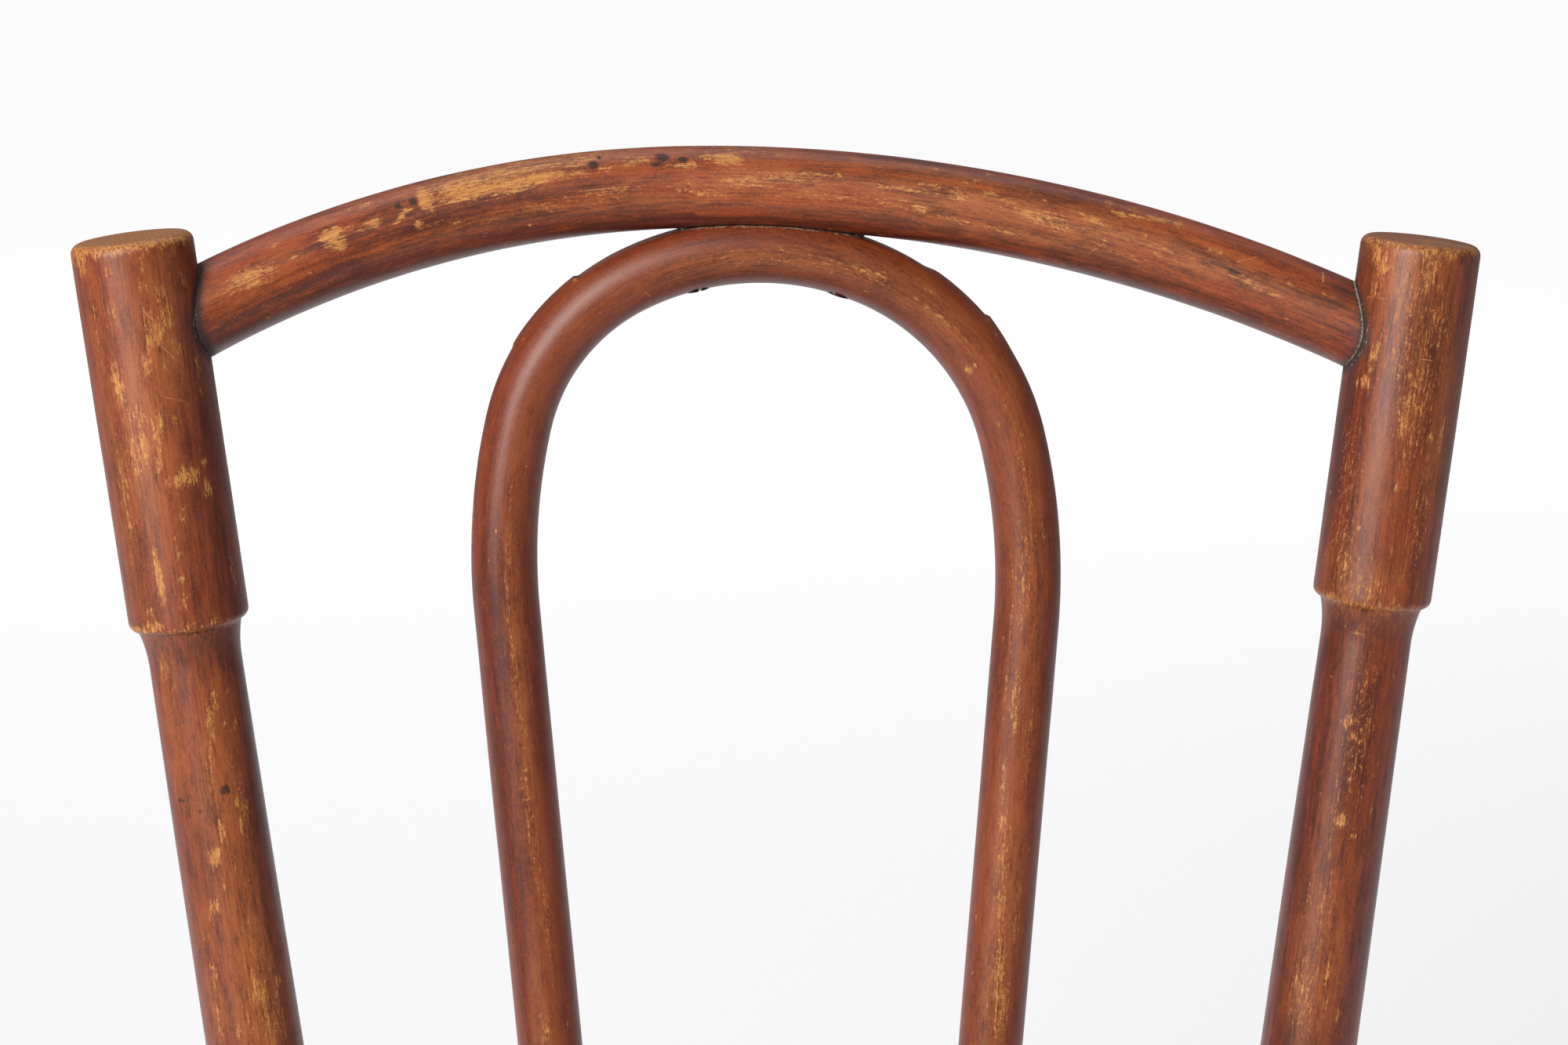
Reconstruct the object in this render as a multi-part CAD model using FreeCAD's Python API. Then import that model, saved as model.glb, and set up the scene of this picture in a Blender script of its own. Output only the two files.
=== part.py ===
import FreeCAD
import Part
import math
import os

# Bentwood bistro chair with a round cane seat.
# Millimetres, Z up, the sitter faces -Y. The origin is on the floor under the middle of the whole chair.
# Left and right are as seen from the front, so left is -X.

# Clearances
glue_gap = 0.1
pilot_gap = 0.05
bolt_gap = 0.3

# Back posts, each one piece from the thick head down to the rear foot
shoulder_height = 749.0
shoulder_offset = 179.5
back_rake = 11.0
post_splay = 6.41
post_housing_depth = 5.0
post_bend_radius = 450.0
rear_leg_rake = 8.5
rear_leg_splay = 3.5
head_diameter = 36.0
head_length_left = 117.0
head_length_right = 111.3
head_top_round = 2.2
head_lip_round = 2.4
head_cove_height = 12.0
post_neck_diameter = 27.6
post_seat_diameter = 31.0
post_foot_diameter = 25.0
foot_chamfer = 1.5

# Crest rail, bent up and backwards between the heads, a little uneven as the real one is.
# Rises are measured up the rake from the shoulders under the heads.
crest_apex_offset = -25.3
crest_apex_rise = 126.0
crest_end_rise_left = 84.9
crest_end_rise_right = 76.9
crest_bulge = 28.6
crest_diameter = 24.8
crest_left_diameter = 26.4
crest_tenon_diameter = 16.0
crest_tenon_past_axis = 4.0

# Hoop inside the back
hoop_diameter = 20.4
hoop_apex_offset = -7.0
hoop_bed_depth = 3.6
hoop_top_radius = 88.0
hoop_top_sweep = 25.0
hoop_crown_radius_left = 65.2
hoop_crown_radius_right = 76.3
hoop_crown_sweep = 76.4
hoop_side_radius = 191.0
hoop_feet_offset = -3.5
hoop_feet_spacing = 119.0
hoop_feet_inset = 16.0
hoop_tenon_diameter = 14.5
hoop_tenon_length = 22.0

# Seat ring, cane and spline
seat_height = 460.0
ring_diameter = 404.0
ring_width = 40.0
ring_thickness = 32.0
ring_outer_round = 6.0
ring_lower_round = 8.0
ring_inner_round = 2.5
groove_inset = 9.0
groove_width = 4.4
groove_depth = 7.0
cane_thickness = 1.4
spline_rise = 1.2
spline_joint_gap = 0.6

# Front legs, turned, with a stepped head like the back posts
leg_head_diameter = 38.0
leg_head_length = 64.0
leg_neck_diameter = 28.5
leg_middle_diameter = 29.0
leg_foot_diameter = 22.0
leg_angle = 44.0
leg_inset = 22.0
leg_splay = 4.5
leg_tenon_diameter = 20.0
leg_tenon_length = 22.0

# Ring stretcher that ties the four legs
leg_ring_height = 285.0
leg_ring_rod_diameter = 19.0
leg_ring_bed_depth = 1.5

# Carriage bolts with square nuts at the rear of the seat
bolt_diameter = 6.0
bolt_head_diameter = 16.0
bolt_head_height = 3.6
bolt_square_length = 4.0
bolt_end_length = 3.0
bolt_seat_depth = 2.6
washer_diameter = 18.0
washer_thickness = 1.5
washer_seat_depth = 0.6
nut_width = 11.0
nut_thickness = 5.0

# Slotted wood screws and the brads that lock the crest tenons
hoop_screw_head = 7.4
hoop_screw_shank = 4.0
hoop_screw_length = 33.0
hoop_screw_dome = 0.4
hoop_screw_reach_left = 20.0
hoop_screw_reach_right = 28.8
lock_screw_head = 7.0
lock_screw_shank = 3.5
lock_screw_length = 30.0
leg_ring_screw_head = 9.0
leg_ring_screw_shank = 4.5
leg_ring_screw_bite = 12.0
screw_dome = 0.9
round_screw_dome = 3.0
slot_width = 1.1
slot_depth_share = 0.55
screw_point_length = 5.0
brad_diameter = 2.2
brad_length = 22.0
brad_head_diameter = 4.4
brad_head_height = 1.0
brad_inset = 6.0

# Working values, not sizes of the chair: an edge lies in one level plane within the first,
# cutters reach this many seat rings across, and the leg ring's place is halved in on this often
level_tolerance = 0.1
cutter_reach = 4.0
halving_steps = 60

# Sizes that follow from the ones above
ring_radius = ring_diameter / 2.0
ring_inner_radius = ring_radius - ring_width
ring_bottom = seat_height - ring_thickness
ring_middle = seat_height - ring_thickness / 2.0
groove_radius = ring_inner_radius + groove_inset
head_radius = head_diameter / 2.0
post_seat_radius = post_seat_diameter / 2.0
crest_radius = crest_diameter / 2.0
hoop_radius = hoop_diameter / 2.0
rod_radius = leg_ring_rod_diameter / 2.0
rake = math.radians(back_rake)
splay = math.radians(post_splay)

up = FreeCAD.Vector(0.0, 0.0, 1.0)
across = FreeCAD.Vector(1.0, 0.0, 0.0)


def placed(shape, at, direction):
    """Turn a shape's own +Z to a direction and set its origin at a point."""
    moved = shape.copy()
    moved.Placement = FreeCAD.Placement(at, FreeCAD.Rotation(up, direction))
    return moved


def rod(radius, start, end):
    """Plain round bar between two points."""
    return Part.makeCylinder(radius, (end - start).Length, start, end - start)


def line(first, second):
    return Part.LineSegment(first, second).toShape()


def arc(first, middle, last):
    return Part.Arc(first, middle, last).toShape()


def turned(edges):
    """Solid turned about Z from a closed outline in the XZ plane."""
    return Part.Face(Part.Wire(edges)).revolve(FreeCAD.Vector(), up, 360.0)


def profile_point(radius, height):
    return FreeCAD.Vector(radius, 0.0, height)


def quarter_point(centre_radius, centre_height, radius, degrees):
    angle = math.radians(degrees)
    return profile_point(centre_radius + radius * math.cos(angle), centre_height + radius * math.sin(angle))


def swept(edges, radius, start_tangent):
    """Round rod bent along a path of tangent lines and arcs."""
    path = Part.Wire(edges)
    start = edges[0].firstVertex().Point
    section = Part.Wire(Part.makeCircle(radius, start, start_tangent))
    return path.makePipeShell([section], True, False)


def mirrored(shape):
    return shape.mirror(FreeCAD.Vector(), across)


def shoulder(radius, lip_height, lip_round, neck_radius, cove_height):
    """Edges of a turned step: a softened lip, then a cove that runs out into the neck."""
    lip_top = profile_point(radius, lip_height + lip_round)
    lip_middle = quarter_point(radius - lip_round, lip_height + lip_round, lip_round, -45.0)
    lip_end = profile_point(radius - lip_round, lip_height)
    step = radius - lip_round - neck_radius
    cove_radius = (step ** 2 + cove_height ** 2) / (2.0 * step)
    half_turn = math.degrees(math.asin(cove_height / cove_radius)) / 2.0
    neck_height = lip_height - cove_height
    cove_middle = quarter_point(neck_radius + cove_radius, neck_height, cove_radius, 180.0 - half_turn)
    neck = profile_point(neck_radius, neck_height)
    return [arc(lip_top, lip_middle, lip_end), arc(lip_end, cove_middle, neck)]


# The back posts stand in one raked plane. Their straight upper part meets the rear leg in a wide bend,
# and the middle of that bend is housed over the edge of the seat ring.

upper_up = math.cos(splay)
upper_way = FreeCAD.Vector(math.sin(splay), upper_up * math.sin(rake), upper_up * math.cos(rake))
leg_out = math.radians(rear_leg_splay)
leg_back = math.radians(rear_leg_rake)
lower_way = FreeCAD.Vector(
    math.sin(leg_out), math.cos(leg_out) * math.sin(leg_back), -math.cos(leg_out) * math.cos(leg_back))
half_bend = (math.pi - upper_way.getAngle(lower_way)) / 2.0
bend_reach = post_bend_radius * math.tan(half_bend)
inner_way = (upper_way + lower_way).normalize()
bend_offset = inner_way * (post_bend_radius / math.cos(half_bend) - post_bend_radius)
shoulder_reach = (shoulder_height - ring_middle + bend_offset.z) / upper_way.z
post_joint_radius = ring_radius + post_seat_radius - post_housing_depth
post_joint_offset = shoulder_offset - upper_way.x * shoulder_reach + bend_offset.x
post_joint_angle = math.asin(post_joint_offset / post_joint_radius)
post_way_in = FreeCAD.Vector(-math.sin(post_joint_angle), -math.cos(post_joint_angle), 0.0)
post_joint = up * ring_middle - post_way_in * post_joint_radius
post_corner = post_joint - bend_offset
bend_top = post_corner + upper_way * bend_reach
bend_bottom = post_corner + lower_way * bend_reach
post_shoulder = post_corner + upper_way * shoulder_reach

# The back frame: across the chair, up the rake and out to the front, from the middle between the shoulders
back_origin = FreeCAD.Vector(0.0, post_shoulder.y, post_shoulder.z)
back_up = FreeCAD.Vector(0.0, math.sin(rake), math.cos(rake))
back_out = FreeCAD.Vector(0.0, -math.cos(rake), math.sin(rake))


def back_point(offset, rise, forward):
    return back_origin + across * offset + back_up * rise + back_out * forward


def post_axis_point(side, rise):
    """Point on a post's upper axis at a rise measured up the rake, with side -1 for left and 1 for right."""
    return back_point(side * (post_shoulder.x + math.tan(splay) * rise), rise, 0.0)


def plain_post(head_length):
    """Right post before its joints are cut, turned from its shoulder up and down."""
    bend_depth = (post_shoulder - bend_top).Length
    neck_radius = post_neck_diameter / 2.0
    top_centre = profile_point(0.0, head_length)
    round_centre = head_radius - head_top_round
    top_flat_end = profile_point(round_centre, head_length)
    top_middle = quarter_point(round_centre, head_length - head_top_round, head_top_round, 45.0)
    top_side = profile_point(head_radius, head_length - head_top_round)
    bend_side = profile_point(post_seat_radius, -bend_depth)
    bend_middle = profile_point(0.0, -bend_depth)
    outline = [line(top_centre, top_flat_end), arc(top_flat_end, top_middle, top_side)]
    outline.append(line(top_side, profile_point(head_radius, head_lip_round)))
    outline += shoulder(head_radius, 0.0, head_lip_round, neck_radius, head_cove_height)
    outline.append(line(profile_point(neck_radius, -head_cove_height), bend_side))
    outline.append(line(bend_side, bend_middle))
    outline.append(line(bend_middle, top_centre))
    upper = placed(turned(outline), post_shoulder, upper_way)
    bend = swept([arc(bend_top, post_joint, bend_bottom)], post_seat_radius, upper_way)
    foot_depth = -bend_bottom.z / lower_way.z
    past_floor = post_foot_diameter
    taper = (post_seat_radius - post_foot_diameter / 2.0) / foot_depth
    end_radius = post_foot_diameter / 2.0 - taper * past_floor
    leg = Part.makeCone(post_seat_radius, end_radius, foot_depth + past_floor, bend_bottom, lower_way)
    return cut_at_floor(upper.fuse([bend, leg]).removeSplitter())


def cut_at_floor(shape):
    """Level a foot at the floor and ease its edge."""
    span = cutter_reach * ring_diameter
    below = Part.makeBox(span, span, ring_diameter, FreeCAD.Vector(-span / 2.0, -span / 2.0, -ring_diameter))
    level = shape.cut(below)
    rim = [edge for edge in level.Edges if edge.BoundBox.ZMax < level_tolerance]
    return level.makeChamfer(foot_chamfer, rim)


# Crest rail

crest_apex = back_point(crest_apex_offset, crest_apex_rise, -crest_bulge)
crest_end_left = post_axis_point(-1, crest_end_rise_left)
crest_end_right = post_axis_point(1, crest_end_rise_right)


def crest_half(end, side):
    """Arc from the apex, where it runs level across the chair, to its end on a post's axis."""
    reach = abs(end.x - crest_apex.x)
    fall = (end - crest_apex) - across * (end.x - crest_apex.x)
    radius = (reach ** 2 + fall.Length ** 2) / (2.0 * fall.Length)
    half_sweep = math.asin(reach / radius) / 2.0
    fall_way = FreeCAD.Vector(fall).normalize()
    middle = crest_apex + across * (side * radius * math.sin(half_sweep))
    middle = middle + fall_way * (radius * (1.0 - math.cos(half_sweep)))
    return radius, fall_way, middle


def crest_end_way(end, side):
    """Direction in which the rail runs into a head."""
    radius, fall_way, _ = crest_half(end, side)
    sweep = math.asin(abs(end.x - crest_apex.x) / radius)
    return across * (side * math.cos(sweep)) + fall_way * math.sin(sweep)


def crest_centre_under(offset):
    """Centre of the rail's right half at an offset near the apex."""
    radius, fall_way, _ = crest_half(crest_end_right, 1)
    reach = offset - crest_apex.x
    return crest_apex + across * reach + fall_way * (radius - math.sqrt(radius ** 2 - reach ** 2))


def crest_tube():
    """The bent rail, thicker towards its left end."""
    left_middle = crest_half(crest_end_left, -1)[2]
    right_middle = crest_half(crest_end_right, 1)[2]
    halves = []
    for end, middle, side, end_diameter in (
            (crest_end_left, left_middle, -1, crest_left_diameter),
            (crest_end_right, right_middle, 1, crest_diameter)):
        shell = Part.BRepOffsetAPI.MakePipeShell(Part.Wire(arc(crest_apex, middle, end)))
        shell.add(Part.Wire(Part.makeCircle(crest_radius, crest_apex, across)))
        shell.add(Part.Wire(Part.makeCircle(end_diameter / 2.0, end, crest_end_way(end, side))))
        shell.build()
        shell.makeSolid()
        halves.append(shell.shape())
    return halves[0].fuse(halves[1])


def crest_tenon(end, side, gap):
    """Round tenon, or with a gap the bore for it, from inside the rail to past the head's axis."""
    way = crest_end_way(end, side)
    start = end - way * (head_radius + crest_tenon_diameter / 2.0)
    return rod(crest_tenon_diameter / 2.0 + gap, start, end + way * (crest_tenon_past_axis + gap))


# Hoop

hoop_apex_rise_gap = crest_radius + hoop_radius - hoop_bed_depth
hoop_apex = crest_centre_under(hoop_apex_offset) - back_up * hoop_apex_rise_gap
hoop_feet_radius = ring_radius - hoop_feet_inset
hoop_feet_back = math.sqrt(hoop_feet_radius ** 2 - (hoop_feet_spacing / 2.0) ** 2)
hoop_down = FreeCAD.Vector(0.0, hoop_feet_back - hoop_apex.y, seat_height - hoop_apex.z)
hoop_depth = hoop_down.Length
hoop_down = hoop_down.normalize()


def hoop_point(reach, depth):
    """Point in the hoop's plane, sideways and down from its apex."""
    return hoop_apex + across * reach + hoop_down * depth


def arc_point(centre, radius, turn):
    """Sideways reach and depth of a point on an arc, with the turn measured from level."""
    return centre[0] + radius * math.sin(turn), centre[1] - radius * math.cos(turn)


def leaving_turn(centre, radius, foot):
    """Turn at which a straight leg leaves an arc to run to its foot."""
    reach, depth = foot[0] - centre[0], foot[1] - centre[1]
    return math.atan2(depth, reach) - math.acos(radius / math.hypot(reach, depth)) + math.pi / 2.0


def hoop_side(side, crown_radius):
    """Edges from the apex to the foot on one side, and the foot's place and direction."""
    foot = (side * (hoop_feet_offset - hoop_apex_offset) + hoop_feet_spacing / 2.0, hoop_depth)
    bends = (
        (hoop_top_radius, math.radians(hoop_top_sweep)),
        (crown_radius, math.radians(hoop_crown_sweep)),
        (hoop_side_radius, None))
    edges = []
    start = (0.0, 0.0)
    start_turn = 0.0
    for radius, end_turn in bends:
        centre = (start[0] - radius * math.sin(start_turn), start[1] + radius * math.cos(start_turn))
        if end_turn is None:
            end_turn = leaving_turn(centre, radius, foot)
        middle = arc_point(centre, radius, (start_turn + end_turn) / 2.0)
        end = arc_point(centre, radius, end_turn)
        points = [hoop_point(side * reach, depth) for reach, depth in (start, middle, end)]
        edges.append(arc(points[0], points[1], points[2]))
        start = end
        start_turn = end_turn
    leg_start = hoop_point(side * start[0], start[1])
    foot_point = hoop_point(side * foot[0], foot[1])
    foot_way = (foot_point - leg_start).normalize()
    edges.append(line(leg_start, foot_point + foot_way * hoop_radius))
    return edges, foot_point, foot_way


def hoop_tube():
    halves = []
    for side, crown_radius in ((-1, hoop_crown_radius_left), (1, hoop_crown_radius_right)):
        halves.append(swept(hoop_side(side, crown_radius)[0], hoop_radius, across))
    return halves[0].fuse(halves[1])


hoop_feet = {}
for foot_side, foot_crown_radius in ((-1, hoop_crown_radius_left), (1, hoop_crown_radius_right)):
    hoop_feet[foot_side] = hoop_side(foot_side, foot_crown_radius)[1:]


def hoop_tenon(side, gap):
    foot, way = hoop_feet[side]
    start = foot - way * hoop_tenon_diameter
    return rod(hoop_tenon_diameter / 2.0 + gap, start, foot + way * (hoop_tenon_length + gap))


# Seat ring, cane and spline

def ring_blank():
    """The ring's outside as a full disc, which the back posts are housed over."""
    disc = Part.makeCylinder(ring_radius, ring_thickness, FreeCAD.Vector(0.0, 0.0, ring_bottom))
    rims = [edge for edge in disc.Edges if len(edge.Vertexes) == 1 and edge.BoundBox.XLength > ring_radius]
    top_rims = [edge for edge in rims if edge.BoundBox.ZMax > ring_middle]
    low_rims = [edge for edge in rims if edge.BoundBox.ZMax < ring_middle]
    return disc.makeFillet(ring_outer_round, top_rims).makeFillet(ring_lower_round, low_rims)


def plain_ring(blank):
    """The bent ring with eased inner edges and the groove for the cane."""
    bore = Part.makeCylinder(ring_inner_radius, ring_thickness, FreeCAD.Vector(0.0, 0.0, ring_bottom))
    ring = blank.cut(bore)
    limit = 2.0 * ring_inner_radius + ring_inner_round
    rims = [edge for edge in ring.Edges
            if edge.BoundBox.ZLength < level_tolerance and ring_radius < edge.BoundBox.XLength < limit]
    return ring.makeFillet(ring_inner_round, rims).cut(
        tube_ring(groove_radius - groove_width / 2.0, groove_radius + groove_width / 2.0,
                  seat_height - groove_depth, seat_height))


def tube_ring(inner, outer, bottom, top):
    """Flat-sided ring about Z."""
    base = FreeCAD.Vector(0.0, 0.0, bottom)
    return Part.makeCylinder(outer, top - bottom, base).cut(Part.makeCylinder(inner, top - bottom, base))


def cane_panel():
    """Woven sheet as a thin disc, its edge turned down into the groove."""
    lip_inner = groove_radius - groove_width / 2.0
    lip_outer = lip_inner + cane_thickness
    disc = Part.makeCylinder(lip_outer, cane_thickness, FreeCAD.Vector(0.0, 0.0, seat_height))
    lip = tube_ring(lip_inner, lip_outer, seat_height - groove_depth, seat_height)
    return disc.fuse(lip).removeSplitter()


def cane_spline():
    """Reed ring that wedges the cane in its groove, with a butt joint at the back."""
    inner = groove_radius - groove_width / 2.0 + cane_thickness
    outer = groove_radius + groove_width / 2.0
    bottom = seat_height - groove_depth
    side_height = seat_height + spline_rise / 2.0
    crown = profile_point((inner + outer) / 2.0, seat_height + cane_thickness + spline_rise)
    outline = [line(profile_point(inner, bottom), profile_point(outer, bottom))]
    outline.append(line(profile_point(outer, bottom), profile_point(outer, side_height)))
    outline.append(arc(profile_point(outer, side_height), crown, profile_point(inner, side_height)))
    outline.append(line(profile_point(inner, side_height), profile_point(inner, bottom)))
    height = groove_depth + cane_thickness + spline_rise
    corner = FreeCAD.Vector(-spline_joint_gap / 2.0, 0.0, bottom)
    return turned(outline).cut(Part.makeBox(spline_joint_gap, ring_radius, height, corner))


# Front legs

leg_bearing = math.radians(leg_angle)
leg_lean = math.radians(leg_splay)
leg_top_radius = ring_radius - leg_inset
leg_out_way = FreeCAD.Vector(math.sin(leg_bearing), -math.cos(leg_bearing), 0.0)
leg_top = leg_out_way * leg_top_radius + up * ring_bottom
leg_up_way = up * math.cos(leg_lean) - leg_out_way * math.sin(leg_lean)


def plain_leg():
    """Right front leg, cut level under the ring and at the floor."""
    radius = leg_head_diameter / 2.0
    neck_radius = leg_neck_diameter / 2.0
    above = radius
    length = leg_top.z / leg_up_way.z
    neck = profile_point(neck_radius, -leg_head_length - head_cove_height)
    middle = profile_point(leg_middle_diameter / 2.0, -leg_head_length - (length - leg_head_length) / 2.0)
    foot = profile_point(leg_foot_diameter / 2.0, -length - leg_foot_diameter)
    lip = profile_point(radius, -leg_head_length + head_lip_round)
    outline = [line(profile_point(0.0, above), profile_point(radius, above))]
    outline.append(line(profile_point(radius, above), lip))
    outline += shoulder(radius, -leg_head_length, head_lip_round, neck_radius, head_cove_height)
    outline.append(arc(neck, middle, foot))
    outline.append(line(foot, profile_point(0.0, foot.z)))
    outline.append(line(profile_point(0.0, foot.z), profile_point(0.0, above)))
    turning = placed(turned(outline), leg_top, leg_up_way)
    over = Part.makeBox(ring_diameter, ring_diameter, ring_thickness + above,
                        FreeCAD.Vector(0.0, -ring_diameter, ring_bottom))
    return cut_at_floor(turning.cut(over)).fuse(leg_tenon(0.0)).removeSplitter()


def leg_tenon(gap):
    start = leg_top - leg_up_way * leg_tenon_length
    return rod(leg_tenon_diameter / 2.0 + gap, start, leg_top + leg_up_way * (leg_tenon_length + gap))


# Ring stretcher

def axis_at_height(start, way, height):
    return start + way * ((height - start.z) / way.z)


front_touch = axis_at_height(leg_top, leg_up_way, leg_ring_height)
rear_touch = axis_at_height(bend_bottom, lower_way, leg_ring_height)


def section_radius(shape, centre, height):
    """Radius of a leg where a level plane cuts it, on the side towards the chair's middle."""
    section = shape.slice(up, height)[0]
    middle = FreeCAD.Vector(0.0, (front_touch.y + rear_touch.y) / 2.0, height)
    return centre.distanceToPoint(middle) - section.distToShape(Part.Vertex(middle))[0]


def leg_ring_layout(front_radius, rear_radius):
    """Centre and radius of the ring that beds equally on the front and the rear legs."""
    low, high = front_touch.y, rear_touch.y
    for _ in range(halving_steps):
        centre_y = (low + high) / 2.0
        to_front = math.hypot(front_touch.x, front_touch.y - centre_y) - front_radius
        to_rear = math.hypot(rear_touch.x, rear_touch.y - centre_y) - rear_radius
        if to_front > to_rear:
            high = centre_y
        else:
            low = centre_y
    centre = FreeCAD.Vector(0.0, centre_y, leg_ring_height)
    return centre, to_front + leg_ring_bed_depth - rod_radius


# Fasteners, each with its head's seat at its own origin and its head towards its own +Z

def wood_screw(head, shank, length, dome, sink, gap, slotted):
    """Slotted screw, or with a gap the hole for it. A sink makes the head countersunk."""
    head_edge = head / 2.0 + gap
    shank_edge = shank / 2.0 + gap
    crown_radius = (head_edge ** 2 + dome ** 2) / (2.0 * dome)
    half = math.asin(head_edge / crown_radius) / 2.0
    crown_middle = profile_point(crown_radius * math.sin(half), dome - crown_radius * (1.0 - math.cos(half)))
    point_start = profile_point(shank_edge, -length + screw_point_length)
    point_end = profile_point(0.0, -length - gap)
    outline = [arc(profile_point(0.0, dome), crown_middle, profile_point(head_edge, 0.0))]
    outline.append(line(profile_point(head_edge, 0.0), profile_point(shank_edge, -sink)))
    outline.append(line(profile_point(shank_edge, -sink), point_start))
    outline.append(line(point_start, point_end))
    outline.append(line(point_end, profile_point(0.0, dome)))
    screw = turned(outline)
    if not slotted:
        return screw
    corner = FreeCAD.Vector(-head, -slot_width / 2.0, dome * (1.0 - slot_depth_share))
    if sink > 0.0:
        corner.z = -sink * slot_depth_share / 2.0
    return screw.cut(Part.makeBox(2.0 * head, slot_width, dome + sink, corner))


def carriage_bolt(length, gap):
    """Domed bolt with a square neck, or with a gap the hole for it."""
    head_edge = bolt_head_diameter / 2.0 + gap
    dome_radius = (head_edge ** 2 + bolt_head_height ** 2) / (2.0 * bolt_head_height)
    half = math.asin(head_edge / dome_radius) / 2.0
    middle_height = bolt_head_height - dome_radius * (1.0 - math.cos(half))
    middle = profile_point(dome_radius * math.sin(half), middle_height)
    crown = profile_point(0.0, bolt_head_height)
    seat_edge = profile_point(head_edge, 0.0)
    seat_centre = profile_point(0.0, 0.0)
    head = turned([arc(crown, middle, seat_edge), line(seat_edge, seat_centre), line(seat_centre, crown)])
    side = bolt_diameter + 2.0 * gap
    neck = Part.makeBox(side, side, bolt_square_length + gap,
                        FreeCAD.Vector(-side / 2.0, -side / 2.0, -bolt_square_length - gap))
    shank = Part.makeCylinder(bolt_diameter / 2.0 + gap, length, FreeCAD.Vector(0.0, 0.0, -length))
    return head.fuse([neck, shank]).removeSplitter()


def spot_face(diameter, depth):
    """Cutter for a flat seat that a head or a washer sinks into, open outwards."""
    return Part.makeCylinder(diameter / 2.0, depth + diameter, FreeCAD.Vector(0.0, 0.0, -depth))


def brad(gap):
    """Small nail with a flat head."""
    shank = Part.makeCylinder(brad_diameter / 2.0 + gap, brad_length, FreeCAD.Vector(0.0, 0.0, -brad_length))
    return shank.fuse(Part.makeCylinder(brad_head_diameter / 2.0 + gap, brad_head_height)).removeSplitter()


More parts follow.
